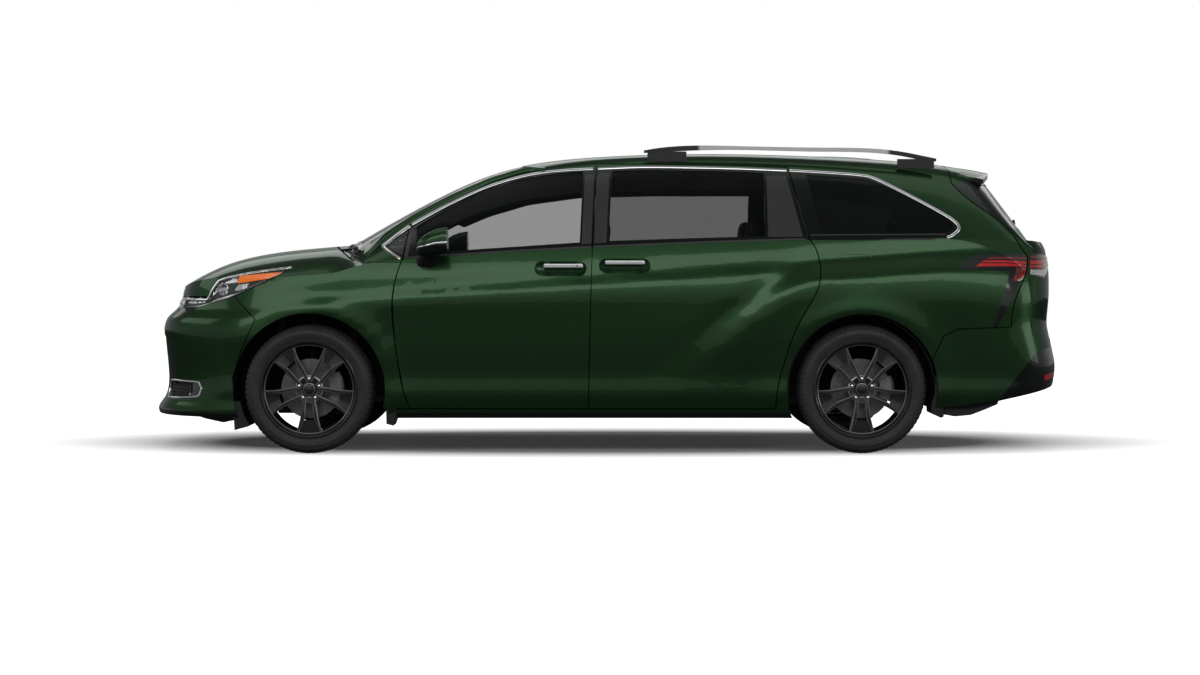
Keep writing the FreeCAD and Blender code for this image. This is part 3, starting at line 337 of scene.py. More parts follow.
# the amber lens gets a faint glow of its own though the lamp is off: painted light standing in for the studio
# light it catches
amberGlowInputs = amberLensGlow.node_tree.nodes["Principled BSDF"].inputs
amberGlowInputs["Emission Color"].default_value = (0.80, 0.16, 0.010, 1.0)
amberGlowInputs["Emission Strength"].default_value = 0.45
redLens = plainFinish("redLens", (0.62, 0.010, 0.010), (0.80, 0.020, 0.018), (0.10, 0.18), 0.0, 600.0, 0.0002,
                      30.0, 1.0, stretch=(8.0, 1.0, 1.0))
clearLens = plainFinish("clearLens", (0.62, 0.63, 0.64), (0.78, 0.79, 0.80), (0.10, 0.2), 0.35, 300.0, 0.0003,
                        60.0, 1.0, stretch=(9.0, 1.0, 1.0))
reflector = plainFinish("reflector", (0.48, 0.49, 0.50), (0.62, 0.63, 0.64), (0.12, 0.22), 1.0, 260.0, 0.0001,
                        40.0)
plateWhite = plainFinish("blankPlate", (0.62, 0.62, 0.60), (0.70, 0.70, 0.68), (0.3, 0.4), 0.0, 500.0,
                         0.00005, 20.0, 0.3)
mirrorGlass = plainFinish("mirrorGlass", (0.45, 0.47, 0.49), (0.50, 0.52, 0.54), (0.01, 0.03), 1.0, 200.0,
                          0.000002, 10.0)
pillarGrey = plainFinish("pillarGrey", (0.028, 0.0285, 0.030), (0.036, 0.0365, 0.038), (0.36, 0.48), 0.0,
                         900.0, 0.00004, 9.0)
print("materials ready")

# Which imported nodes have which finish
finishPlan = [
    (paint, "side_frame_left side_frame_right door_left door_right sliding_doors fenders"),
    (plainPaint, "roof_panel front_bumper rear_bumper hood"), (gatePaint, "tailgate"), (cowlPaint, "cowl"),
    (mirrorPaint, "mirror_left mirror_right"), (railPaint, "roof_rails"), (lampCover, "headlamps"),
    (screenGlass, "windscreen"), (quarterDark, "rear_glass quarter_glass"),
    (privacyGlass, "sliding_door_glass"), (frontGlass, "door_glass_left door_glass_right"),
    (glossBlack, "upper_grille tail_lamps"), (trimBlack, "lower_grille"),
    (chrome, "sliding_door_handles door_handle_left door_handle_right"),
    (wellBlack, "front_wheel_liners rear_wheel_liners"), (castAluminium, "engine"), (underSeal, "bulkhead"),
    (castIron, "front_subframe rear_axle knuckle_left knuckle_right"), (carpet, "floor_pan"),
    (cabinPlastic, "dashboard"), (leather, "steering_wheel front_seats middle_seats rear_seats"),
    (rubber, "tyre_fl tyre_fr tyre_rl tyre_rr"), (darkAlloy, "rim_fl rim_fr rim_rl rim_rr"),
]

# Making pieces


def gridFaces(rows, columns, loopRows=False, loopColumns=False):
    # one four-sided face between neighbouring rows and columns of a grid
    i, j = np.meshgrid(np.arange(rows if loopRows else rows - 1),
                       np.arange(columns if loopColumns else columns - 1), indexing="ij")
    nextI, nextJ = (i + 1) % rows, (j + 1) % columns
    return np.stack([i * columns + j, nextI * columns + j, nextI * columns + nextJ, i * columns + nextJ],
                    -1).reshape(-1, 4)


def closedMesh(name, shape, near):
    # a mesh with its seams and poles closed and its faces turned outwards
    mesh = bpy.data.meshes.new(name)
    mesh.from_pydata(np.asarray(shape[0], float).reshape(-1, 3).tolist(), [],
                     [list(face) for face in shape[1]])
    work = bmesh.new()
    work.from_mesh(mesh)
    bmesh.ops.remove_doubles(work, verts=work.verts, dist=near)
    bmesh.ops.dissolve_degenerate(work, edges=work.edges, dist=1e-7)
    bmesh.ops.recalc_face_normals(work, faces=work.faces)
    work.to_mesh(mesh)
    work.free()
    piece = bpy.data.objects.new(name, mesh)
    bpy.context.scene.collection.objects.link(piece)
    return piece


def makePiece(name, shape, material, body, crease=35.0):
    # shape is (points, faces); edges sharper than crease degrees stay crisp
    piece = closedMesh(name, shape, 1e-6)
    piece.data.shade_smooth()
    piece.data.set_sharp_from_angle(angle=math.radians(crease))
    for one in material if isinstance(material, list) else [material]:
        piece.data.materials.append(one)
    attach(piece, body)
    return piece


def readPolygons(mesh, key):
    values = np.empty(len(mesh.polygons) * 3)
    mesh.polygons.foreach_get(key, values)
    return values.reshape(-1, 3)


def setFaceMaterials(mesh, index):
    mesh.polygons.foreach_set("material_index", np.asarray(index, np.int32))


def flip(points):
    # the same points on the other side of the van
    return np.asarray(points) * np.array([1.0, -1.0, 1.0])


def joinShapes(shapes):
    # several (points, faces) pairs as one
    allPoints, allFaces, start = [], [], 0
    for points, faces in shapes:
        points = np.asarray(points, float).reshape(-1, 3)
        allPoints.append(points)
        allFaces += [[index + start for index in face] for face in faces]
        start += len(points)
    return np.concatenate(allPoints), allFaces


def pair(name, shape, material, body, crease=35.0):
    # a piece on the left and its twin on the right, one object on one body, two where the sides move apart
    twin = (flip(shape[0]), shape[1])
    if "left" not in body:
        makePiece(name, joinShapes([shape, twin]), material, body, crease)
        return
    makePiece(name + "Left", shape, material, body, crease)
    makePiece(name + "Right", twin, material, body.replace("left", "right"), crease)


def closedGrid(grid, first=True, last=True):
    # a grid whose columns run round, its first and last rows closed by flat ends unless told otherwise
    rows, columns = grid.shape[:2]
    faces = gridFaces(rows, columns, loopColumns=True).tolist()
    faces += [list(range(columns))] * first + [list(range((rows - 1) * columns, rows * columns))] * last
    return grid.reshape(-1, 3), faces


def sweep(path, sideways, outward, profile, loop=False):
    # each profile point carried along the path: path + sideways * first + outward * second
    if profile.ndim == 2:
        profile = np.repeat(profile[None], len(path), 0)
    grid = path[:, None] + sideways[:, None] * profile[:, :, :1] + outward[:, None] * profile[:, :, 1:]
    if not loop:
        return closedGrid(grid)
    return grid.reshape(-1, 3), gridFaces(*grid.shape[:2], loopRows=True, loopColumns=True).tolist()


def slab(outer, inner):
    # a closed thin solid between two grids of points
    rows, columns = outer.shape[:2]
    count = rows * columns
    faces = gridFaces(rows, columns).tolist()
    faces += [[index + count for index in reversed(face)] for face in faces]
    edge = list(range(columns)) + [i * columns + columns - 1 for i in range(1, rows)]
    edge += [(rows - 1) * columns + j for j in range(columns - 2, -1, -1)] + [i * columns
                                                                              for i in range(rows - 2, 0, -1)]
    faces += [[a, b, b + count, a + count] for a, b in zip(edge, edge[1:] + edge[:1])]
    return np.concatenate([outer.reshape(-1, 3), inner.reshape(-1, 3)]), faces


def extruded(outline, low, high):
    # an outline in x and z carried from one y to another
    outline = np.asarray(outline, float)
    n = len(outline)
    points = np.concatenate([np.insert(outline, 1, low, axis=1), np.insert(outline, 1, high, axis=1)])
    faces = [[i, (i + 1) % n, (i + 1) % n + n, i + n] for i in range(n)] + [list(range(n)),
                                                                            list(range(n, 2 * n))]
    return points, faces


def lathe(profile, count, loop=True):
    # radius and y of each profile point, turned about the y axis
    turn = np.linspace(0, 2 * math.pi, count, endpoint=False)
    profile = np.asarray(profile, float)
    points = np.stack([np.outer(np.cos(turn), profile[:, 0]), np.tile(profile[:, 1], (count, 1)),
                       np.outer(np.sin(turn), profile[:, 0])], -1)
    return points.reshape(-1, 3), gridFaces(count, len(profile), loopRows=True, loopColumns=loop).tolist()


def bent(value, power):
    # a sine or cosine drawn towards its ends, which squares up a circle
    return np.sign(value) * np.abs(value) ** power


def squaredOval(around, centre, half, powers):
    return np.stack([centre[k] + half[k] * bent(wave(around), powers[k]) for k,
                     wave in enumerate((np.cos, np.sin))], -1)


def smoothLine(marks, count):
    # points evenly spaced along a rounded line through the marks (Catmull-Rom between them)
    marks = np.asarray(marks, float)
    padded = np.concatenate([2 * marks[:1] - marks[1:2], marks, 2 * marks[-1:] - marks[-2:-1]])
    t = np.linspace(0, len(marks) - 1 - 1e-9, max(count * 6, 60))
    k = t.astype(int)
    f = (t - k)[:, None]
    a, b, c, d = padded[k], padded[k + 1], padded[k + 2], padded[k + 3]
    fine = 0.5 * (2 * b + (c - a) * f + (2 * a - 5 * b + 4 * c - d) * f ** 2 + (3 * b - a - 3 * c + d)
                  * f ** 3)
    run = np.concatenate([[0], np.cumsum(np.linalg.norm(np.diff(fine, axis=0), axis=1))])
    even = np.linspace(0, run[-1], count)
    return np.stack([np.interp(even, run, fine[:, i]) for i in range(fine.shape[1])], -1)


def evened(values, reach):
    # a running mean, the ends repeated outwards
    return np.convolve(np.pad(values, reach, mode="edge"), np.ones(2 * reach + 1) / (2 * reach + 1), "valid")


def treeOf(*names):
    points, faces, start = [], [], 0
    for name in names:
        mesh = nodes[name].data
        co = np.empty(len(mesh.vertices) * 3)
        mesh.vertices.foreach_get("co", co)
        mesh.calc_loop_triangles()
        corners = np.empty(len(mesh.loop_triangles) * 3, int)
        mesh.loop_triangles.foreach_get("vertices", corners)
        points.append(co.reshape(-1, 3))
        faces.append(corners.reshape(-1, 3) + start)
        start += len(mesh.vertices)
    return BVHTree.FromPolygons(np.concatenate(points).tolist(), np.concatenate(faces).tolist())


def cast(tree, starts, ways):
    # where rays first meet the tree, one way for all or one each; a miss takes the nearest hit in the list
    ways = np.broadcast_to(np.asarray(ways, float), np.shape(starts))
    hits = [tree.ray_cast(Vector(start), Vector(way))[0] for start, way in zip(starts, ways)]
    good = [k for k, hit in enumerate(hits) if hit is not None]
    return np.array([hits[min(good, key=lambda g: abs(g - k))][:] for k in range(len(hits))])


def fan(tree, centre, angles, heights):
    # points on the skin met by level rays that run in towards a centre, one angle and height each
    out = np.stack([np.cos(np.radians(angles)), np.sin(np.radians(angles)), np.zeros(len(angles))], -1)
    starts = np.array([centre[0], centre[1], 0.0]) + out * 1.2 + np.stack([0 * heights, 0 * heights, heights],
                                                                          -1)
    reach = [tree.ray_cast(Vector(start), Vector(-way))[3] for start, way in zip(starts, out)]
    # a ray that falls into a gap takes its reach from its neighbours
    known = [k for k, distance in enumerate(reach) if distance is not None]
    filled = np.interp(np.arange(len(reach)), known, [reach[k] for k in known])
    return starts - out * filled[:, None], out


leftSkin = treeOf("side_frame_left", "door_left", "sliding_doors", "fenders", "front_bumper", "rear_bumper",
                  "headlamps", "tail_lamps", "tailgate", "door_glass_left", "sliding_door_glass",
                  "quarter_glass", "hood", "roof_panel")


def fromSide(line, dx=0.0, dz=0.0):
    # rays' starting points well outside the left side
    return np.stack([line[:, 0] + dx, np.full(len(line), -1.4), line[:, 1] + dz], -1)


def onSide(line):
    # places (x, z) on the left skin; the outermost of five close rays, so a panel gap doesn't swallow a point
    reach = 0.012
    tries = np.array([cast(leftSkin, fromSide(line, dx, dz), (0, 1, 0))[:, 1]
                      for dx, dz in ((0, 0), (reach, 0), (-reach, 0), (0, reach), (0, -reach))])
    y = np.where(tries[0] > tries.min(0) + 0.02, tries.min(0), tries[0])
    return np.stack([line[:, 0], y, line[:, 1]], -1)


def panelOn(tree, upper, lower, proud, thick, rows=5, count=40, rear=False):
    # a thin panel between two drawn lines, laid on what the view from the side or the rear sees
    a, b = smoothLine(upper, count), smoothLine(lower, count)
    flat = (a[None] + (b - a)[None] * np.linspace(0, 1, rows)[:, None, None]).reshape(-1, 2)
    starts, way = fromSide(flat), np.array([0.0, 1.0, 0.0])
    if rear:
        starts, way = np.insert(flat, 0, 3.0, axis=1), np.array([-1.0, 0.0, 0.0])
    hits = cast(tree, starts, way).reshape(rows, count, 3)
    return slab(hits - way * proud, hits + way * (thick - proud))


def frameAlong(path, lean, loop=False):
    # sideways lies in the surface, square to the path; outward is square to both
    ahead = np.roll(path, -1, 0) - np.roll(path, 1, 0) if loop else np.gradient(path, axis=0)
    ahead /= np.linalg.norm(ahead, axis=1)[:, None]
    outward = lean - (ahead * lean).sum(1)[:, None] * ahead
    outward /= np.linalg.norm(outward, axis=1)[:, None]
    return np.cross(ahead, outward), outward


def crowned(width, height, sink, low, knee, rise, flat):
    # half a cross-section from its flat top down over the knee to the foot, and its mirror image
    w, h = width / 2, height
    half = [(w * flat, h), (w * knee, h * rise), (w, h * low), (w, -sink)]
    return np.array([(-a, b) for a, b in reversed(half)] + half)


def moulding(path, outward, width, height, sink=0.003, loop=False, ends=1.0):
    # a softly crowned bar along a path, sitting on the skin; ends is how much of its width the last end keeps
    across, up = frameAlong(path, outward, loop)
    narrow = 1.0 - (1.0 - ends) * np.linspace(0, 1, len(path))
    profile = crowned(width, height, sink, 0.4, 0.75, 0.85, 0.3)
    return sweep(path, across, up, profile[None] * np.stack([narrow, np.ones(len(path))], -1)[:, None], loop)


def strip(name, line, width, height, material, body, count):
    # a flat, softly crowned moulding laid along the side of the van, and its twin on the right
    path = onSide(smoothLine(line, count))
    path[:, 1] = evened(path[:, 1], 2)
    across, outward = frameAlong(path, np.array([0.0, -1.0, 0.35]))
    profile = crowned(width, height, 0.002, 0.35, 0.8, 0.8, 0.35)
    pair(name, sweep(path, across, outward, profile), material, body)


def inPolygon(x, z, corners):
    # even-odd count of edges crossed
    inside = np.zeros(x.shape, bool)
    for (ax, az), (bx, bz) in zip(corners, corners[1:] + corners[:1]):
        crosses = (az > z) != (bz > z)
        inside ^= crosses & (x < (bx - ax) * (z - az) / (bz - az + 1e-12) + ax)
    return inside


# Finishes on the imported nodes
for material, names in finishPlan:
    for name in names.split():
        if not nodes[name].data.materials:
            nodes[name].data.materials.append(material)
        for slot in nodes[name].material_slots:
            slot.material = material
print("node finishes set")

# Wheels
wheelPlan = {
    "fl": (frontAxle, -1, "steer_left", (-28, 32)), "fr": (frontAxle, 1, "steer_right", (-28, 32)),
    "rl": (rearAxle, -1, "root", (-24, 24)), "rr": (rearAxle, 1, "root", (-24, 24)),
}
tyreShape = {"segments": 288, "outer": 0.357, "half": 0.119, "groove": 0.0065, "blocks": 72}
rimShape = {"spokeDepth": 0.030, "chamfer": 0.0052, "face": -0.084}


def tyrePoints():
    # cross-section with bead, bulged wall and flat tread; grooves, shoulder notches and fine cuts pressed in
    half, outer, n = tyreShape["half"], tyreShape["outer"], tyreShape["segments"]
    wall = [(0.2545, 0.029), (0.262, 0.019), (0.2705, 0.0125), (0.2725, 0.0085), (0.276, 0.0095),
            (0.284, 0.005), (0.296, 0.0015), (0.306, 0.0005), (0.308, 0.0), (0.3125, 0.0), (0.3145, 0.0008),
            (0.322, 0.0022), (0.3285, 0.0040), (0.3300, 0.0034), (0.3318, 0.0052), (0.3370, 0.0085),
            (0.3430, 0.0128), (0.3480, 0.0178), (0.3520, 0.0240), (0.3545, 0.0310)]
    wall = [(r, half - inset) for r, inset in wall]
    tread = [(outer - 0.0015, y) for y in (0.078, 0.066, 0.0655, 0.0560, 0.0555)]
    tread += [(outer - 0.0004, y) for y in (0.040, 0.0275)]
    tread += [(outer, y) for y in (0.027, 0.0180, 0.0175, 0.006, 0.0)]
    right = wall + tread
    profile = np.array([(r, -y) for r, y in right] + [(r, y) for r, y in reversed(right[:-1])])
    inner = np.array([(0.2545, half - 0.034), (0.2545, 0.0), (0.2545, -(half - 0.034))])
    profile = np.concatenate([profile, inner])
    r, y = profile[:, 0], profile[:, 1]
    turn = np.arange(n) * 2 * math.pi / n
    phase = (turn * tyreShape["blocks"] / (2 * math.pi)) % 1.0
    reach = np.abs(y)
    ribs = ((reach > 0.0556) & (reach < 0.0659)) | ((reach > 0.0176) & (reach < 0.0274))
    depth = np.where(ribs & (r > 0.35), tyreShape["groove"], 0.0)[None, :].repeat(n, 0)
    notch = (phase < 0.26)[:, None] & (((reach > 0.066) & (r > 0.3320))[None, :])
    depth = np.maximum(depth, np.where(notch, 0.0042, 0.0))
    sipe = ((phase > 0.5) & (phase < 0.74))[:, None] & ((reach < 0.0556) & (r > 0.355))[None, :]
    depth = np.maximum(depth, np.where(sipe, 0.0022, 0.0))
    radius = r[None, :] - depth
    points = np.stack([np.cos(turn)[:, None] * radius, np.tile(y, (n, 1)), np.sin(turn)[:, None] * radius],
                      -1)
    return points, gridFaces(n, len(profile), loopRows=True, loopColumns=True).tolist()


def atAngle(along, out, cross, angle):
    # a spoke's own axes turned to its place round the hub
    cos, sin = math.cos(angle), math.sin(angle)
    return np.stack([along * cos - cross * sin, out, along * sin + cross * cos], -1)


def bladePoints(angle, side):
    # one spoke: a tapered bar with cut edges, lofted from the hub to the rim beside its pair's slot
    marks = np.array([(0.030, 0.0215, 0.0085), (0.060, 0.0255, 0.0090), (0.085, 0.0290, 0.0097),
                      (0.118, 0.0325, 0.0110), (0.150, 0.0360, 0.0118), (0.176, 0.0420, 0.0110),
                      (0.200, 0.0500, 0.0090), (0.224, 0.0590, 0.0072), (0.246, 0.0675, 0.0065)])
    t = np.linspace(0, 1, 25)
    u, v, w = (np.interp(t, np.linspace(0, 1, len(marks)), a) for a in marks.T)
    face = rimShape["face"] - 0.006 * np.sin(np.clip((u - 0.03) / 0.22, 0, 1) * math.pi * 0.9)
    deep, cut = rimShape["spokeDepth"] * (1.0 - 0.25 * t), rimShape["chamfer"]
    rows = np.stack([np.stack(corner, -1) for corner in (
        (-w - 0.002, face + deep), (-w - 0.001, face + cut * 1.2), (-w + cut, face),
        (w - cut, face), (w + 0.001, face + cut * 1.2), (w + 0.002, face + deep))], 1)
    return closedGrid(atAngle(np.repeat(u[:, None], 6, 1), rows[:, :, 1], side * (v[:, None] + rows[:, :, 0]),
                              angle))


def footPoints(angle):
    # the web between two spokes near the rim, a little below their faces
    u = np.linspace(0.172, 0.250, 9)
    half = np.interp(u, [0.150, 0.176, 0.200, 0.224, 0.250], [0.026, 0.033, 0.043, 0.054, 0.064])
    v = half[:, None] * np.linspace(-1, 1, 9)[None]
    face = rimShape["face"] + 0.0022 + 0.004 * np.cos(np.linspace(-1, 1, 9)
                                                      * math.pi / 2)[None] * np.ones((9, 1))
    top = np.stack([np.repeat(u[:, None], 9, 1), v, face], -1)
    low = top.copy()
    low[:, :, 2] = rimShape["face"] + 0.020
    ring = np.concatenate([top, low[:, ::-1]], 1)
    return closedGrid(atAngle(ring[:, :, 0], ring[:, :, 2], ring[:, :, 1], angle))


def hexPoints(angle, radius, base, top):
    # a six-sided nut with a domed end
    levels = np.array([(0.0095, base), (0.0095, top + 0.004), (0.00817, top + 0.0015), (0.004275, top),
                       (0.0, top)])
    turn = np.arange(6) * math.pi / 3
    x = np.outer(levels[:, 0], np.cos(turn)) + radius * math.cos(angle)
    z = np.outer(levels[:, 0], np.sin(turn)) + radius * math.sin(angle)
    return closedGrid(np.stack([x, np.repeat(levels[:, 1:], 6, 1), z], -1), last=False)


def buildWheel(name, axle, side):
    place = np.array([axle, side * halfTrack, hubHeight])
    turnOut = np.array([1.0, 1.0 if side < 0 else -1.0, 1.0])

    def put(part, shape, material, crease):
        placed = (shape[0].reshape(-1, 3) * turnOut + place, shape[1])
        return makePiece(part + name, placed, material, "wheel_" + name, crease)

    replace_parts(put("tread_", tyrePoints(), rubber, 28), "tyre_" + name)
    barrel = lathe([(0.2675, -0.108), (0.2680, -0.098), (0.2560, -0.091), (0.2510, -0.060), (0.2510, 0.085),
                    (0.2675, 0.094), (0.2675, 0.106), (0.2560, 0.106), (0.2400, 0.088), (0.2360, 0.0),
                    (0.2380, -0.070), (0.2420, -0.084), (0.2430, -0.0915), (0.2455, -0.0935),
                    (0.2500, -0.0940), (0.2535, -0.0975), (0.2570, -0.1065), (0.2600, -0.1090),
                    (0.2645, -0.1095)], 120)
    hub = lathe([(0.0, -0.076), (0.034, -0.076), (0.0345, -0.0745), (0.040, -0.0735), (0.048, -0.0760),
                 (0.070, -0.0775), (0.078, -0.0740), (0.080, -0.0500), (0.076, 0.0), (0.050, 0.008),
                 (0.0, 0.008)], 90, loop=False)
    cap = lathe([(0.0, -0.0905), (0.018, -0.0900), (0.0255, -0.0880), (0.0285, -0.0850), (0.0295, -0.0760),
                 (0.0, -0.0760)],
                64, loop=False)
    capRing = lathe([(0.0295, -0.0760), (0.0295, -0.0850), (0.0310, -0.0868), (0.0330, -0.0862),
                     (0.0340, -0.0840), (0.0342, -0.0760)], 64)
    slots = [math.radians(-90 + 72 * k) for k in range(5)]
    blades = [bladePoints(angle, way) for angle in slots for way in (-1, 1)]
    piece = put("alloy_", joinShapes([barrel, hub, cap] + blades + [footPoints(angle) for angle in slots]),
                [darkAlloy, cutAlloy], 24)
    # the chamfers along spokes and lip are the ones that lean
    centres = readPolygons(piece.data, "center") - place
    radius, facing = np.hypot(centres[:, 0], centres[:, 2]), readPolygons(piece.data, "normal")[:, 1] * side
    cut = (facing > 0.35) & (facing < 0.93) & (radius < 0.2445) & (radius > 0.040)
    setFaceMaterials(piece.data, cut | ((radius > 0.2425) & (radius < 0.2470) & (facing > 0.3)))
    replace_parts(piece, "rim_" + name)
    put("cap_ring_", capRing, cutAlloy, 40)
    nuts = joinShapes([hexPoints(math.radians(90 + 72 * k), 0.0575, -0.074, -0.0915) for k in range(5)])
    put("lug_nuts_", nuts, chrome, 30)
    put("brake_disc_",
        lathe([(0.030, 0.009), (0.071, 0.009), (0.074, 0.013), (0.166, 0.013), (0.168, 0.015), (0.168, 0.032),
                              (0.166, 0.034), (0.030, 0.034)], 96), discSteel, 30)


def buildCaliper(name, axle, side, body, ends):
    # a bridged block round the disc's edge
    turn = np.radians(np.linspace(*ends, 24))
    section = np.array([(0.108, -0.014), (0.172, -0.018), (0.186, -0.010), (0.188, 0.052), (0.180, 0.058),
                        (0.112, 0.056), (0.108, 0.040), (0.1725, 0.0395), (0.1760, 0.034), (0.1760, 0.013),
                        (0.1725, 0.0075), (0.104, 0.006)])
    squeeze = 1 - 0.10 * np.abs(np.linspace(-1, 1, 24)) ** 6
    r = 0.146 + (section[None, :, 0] - 0.146) * squeeze[:, None]
    points = np.stack([np.cos(turn)[:, None] * r, np.tile(section[:, 1], (24, 1)), np.sin(turn)[:, None] * r],
                      -1)
    points = points * np.array([1, 1 if side < 0 else -1, 1]) + np.array([axle, side * halfTrack, hubHeight])
    makePiece("caliper_" + name, closedGrid(points), castAluminium, body, 30)


for name, (axle, side, body, ends) in wheelPlan.items():
    buildWheel(name, axle, side)
for name, (axle, side, body, ends) in wheelPlan.items():
    buildCaliper(name, axle, side, body, ends)
print("wheels done")

# Side trim
top, belt = paintEdges["top"], paintEdges["bottom"]
for name, line, width, body, count in (
        ("chrome_corner", [(-1.226, 1.148), (-1.150, 1.212), (-1.083, 1.262)], 0.018, "root", 24),
        ("chrome_door", [(-1.071, 1.271)] + top[2:6] + [(-0.056, 1.584)], 0.017, "front_door_left", 70),
        ("chrome_slide", [(-0.028, 1.586)] + top[7:10] + [(1.030, 1.575)], 0.014, "root", 50),
        ("chrome_quarter",
         [(1.046, 1.574), (1.275, 1.561), (1.440, 1.548), (1.505, 1.536), (1.596, 1.494), (1.789, 1.390),
                            (1.915, 1.316), (1.958, 1.284), (1.978, 1.258), (1.968, 1.234), (1.935, 1.207),
          (1.908, 1.197)],
         0.017, "root", 120),
        ("chrome_tip", [(-1.228, 1.149), (-1.180, 1.114), (-1.122, 1.080)], 0.015, "root", 20)):
    strip(name, line, width, 0.004, chrome, body, count)
print("side trim done")

# Headlamp inside: a bowl-shaped liner behind the cover, in tones taken from masks on the lamp's own shape
lampPlan = {
    "centre": (-1.90, -0.45), "columns": 170, "rows": 46, "depth": 0.0165,
    "amber": [(-2.030, 0.982), (-1.900, 0.996), (-1.785, 1.004), (-1.778, 0.996), (-1.850, 0.968),
              (-2.036, 0.940)],
    "clear": [(-2.055, 0.900), (-2.030, 0.936), (-1.966, 0.945), (-1.976, 0.918), (-2.028, 0.898)],
    "bowls": [(-0.062, 0.905, 0.030, 0.026), (-0.170, 0.886, 0.034, 0.030), (-0.285, 0.872, 0.031, 0.028)],
}
lampTree = treeOf("headlamps")
lampAngles = np.linspace(-167.0, -66.5, lampPlan["columns"])


def lampEdges():
    # lowest and highest point of the left cover along each ray of the fan
    ends = []
    for angle in lampAngles:
        out = Vector((math.cos(math.radians(angle)), math.sin(math.radians(angle)), 0.0))
        met = []
        for z in np.linspace(0.79, 1.05, 90):
            hit = lampTree.ray_cast(Vector((*lampPlan["centre"], z)) + out * 1.2, -out)[0]
            if hit is not None and hit[1] < 0:
                met.append(z)
        ends.append((min(met, default=np.nan), max(met, default=np.nan)))
    ends = np.array(ends)
    known = ~np.isnan(ends[:, 0])
    return [np.interp(lampAngles, lampAngles[known], ends[known, k]) for k in range(2)]


lampLow, lampHigh = lampEdges()
rows, columns = lampPlan["rows"], lampPlan["columns"]
share = np.linspace(0.0, 1.0, rows)[:, None]
lampZ = lampLow + 0.004 + (lampHigh - lampLow - 0.008).clip(0.002) * share
skinPoints, lampOut = fan(lampTree, lampPlan["centre"], np.tile(lampAngles, (rows, 1)).ravel(), lampZ.ravel())
skinPoints, lampOut = skinPoints.reshape(rows, columns, 3), lampOut.reshape(rows, columns, 3)
# distance along the lamp, nought where it passes x -2.070
run = np.concatenate([[0], np.cumsum(np.linalg.norm(np.diff(skinPoints[rows // 2, :, :2], axis=0), axis=1))])
run = run - np.interp(-2.070, skinPoints[rows // 2, :, 0], run)
runGrid = np.tile(run, (rows, 1))
depth = np.full((rows, columns), lampPlan["depth"])
# tone 3, the amber lens, carries a faint glow: painted light
tones = [pillarGrey, reflector, clearLens, amberLensGlow, glossBlack]
tone = np.zeros((rows, columns), int)
skinX, skinZ = skinPoints[:, :, 0], skinPoints[:, :, 2]
for place, height, wide, deep in lampPlan["bowls"]:
    away = np.hypot(runGrid - place, skinZ - height) / wide
    depth += np.where(away < 1, deep * np.sqrt(np.clip(1 - away ** 2, 0, 1)), 0.0)
    depth -= np.where((away >= 1) & (away < 1.13), 0.004, 0.0)
    tone[away < 1.13] = 1
upper = inPolygon(skinX, skinZ, [(-2.150, 0.955), (-2.045, 0.985), (-2.040, 0.946), (-2.110, 0.940)])
fanRibs = (skinX < -2.13) & (share > 0.45) & (tone == 0)
depth += np.where(fanRibs, 0.0022 * np.sin(runGrid * 900.0), 0.0)
tone[upper | fanRibs] = 1
clear, amber = inPolygon(skinX, skinZ, lampPlan["clear"]), inPolygon(skinX, skinZ, lampPlan["amber"])
depth[clear] = 0.008 + 0.0012 * np.sin(runGrid[clear] * 700.0)
depth[amber] = 0.006 + 0.0010 * np.abs(np.sin(skinZ[amber] * 420.0))
tone[clear], tone[amber] = 2, 3
tone[share[:, 0] > 0.90] = 4
tone[share[:, 0] < 0.07] = 1
shell = slab(skinPoints - lampOut * depth[:, :, None], skinPoints - lampOut * (depth[:, :, None] + 0.004))
cellTone = tone[:-1, :-1].ravel()
for side, points in (("Left", shell[0]), ("Right", flip(shell[0]))):
    mesh = makePiece("lamp_liner" + side, (points, shell[1]), tones, "root", 30).data
    rest = len(mesh.polygons) - 2 * len(cellTone)
    setFaceMaterials(mesh, np.concatenate([cellTone, cellTone, np.zeros(rest, int)]))
domes = []
for place, height, wide, deep in lampPlan["bowls"]:
    column = int(np.abs(run - place).argmin())
    row = int(np.abs(lampZ[:, column] - height).argmin())
    spot, out = skinPoints[row, column], lampOut[row, column]
    a, b = np.meshgrid(np.linspace(0, math.pi / 2, 12), np.linspace(0, 2 * math.pi, 32, endpoint=False),
                       indexing="ij")
    across = np.cross(out, (0, 0, 1.0))
    across /= np.linalg.norm(across)
    up = np.cross(across, out)
    aside = np.cos(b)[..., None] * across + np.sin(b)[..., None] * up
    ball = np.cos(a)[..., None] * out * 0.8 + np.sin(a)[..., None] * aside
    domes.append(closedGrid(spot - out * (lampPlan["depth"] + deep * 0.75) + wide * 0.62 * ball, first=False))
pair("lamp_domes", joinShapes(domes), clearLens, "root", 50)
edgeAngles = np.linspace(-66.8, -166.5, 110)
edgeHeights = np.interp(-edgeAngles, -lampAngles[::-1], lampHigh[::-1]) - 0.006
edgePath, edgeOut = fan(lampTree, lampPlan["centre"], edgeAngles, edgeHeights)
pair("lamp_brow", moulding(edgePath, edgeOut + np.array([0, 0, 0.5]), 0.013, 0.0035, 0.004), chrome, "root")
print("headlamps done")

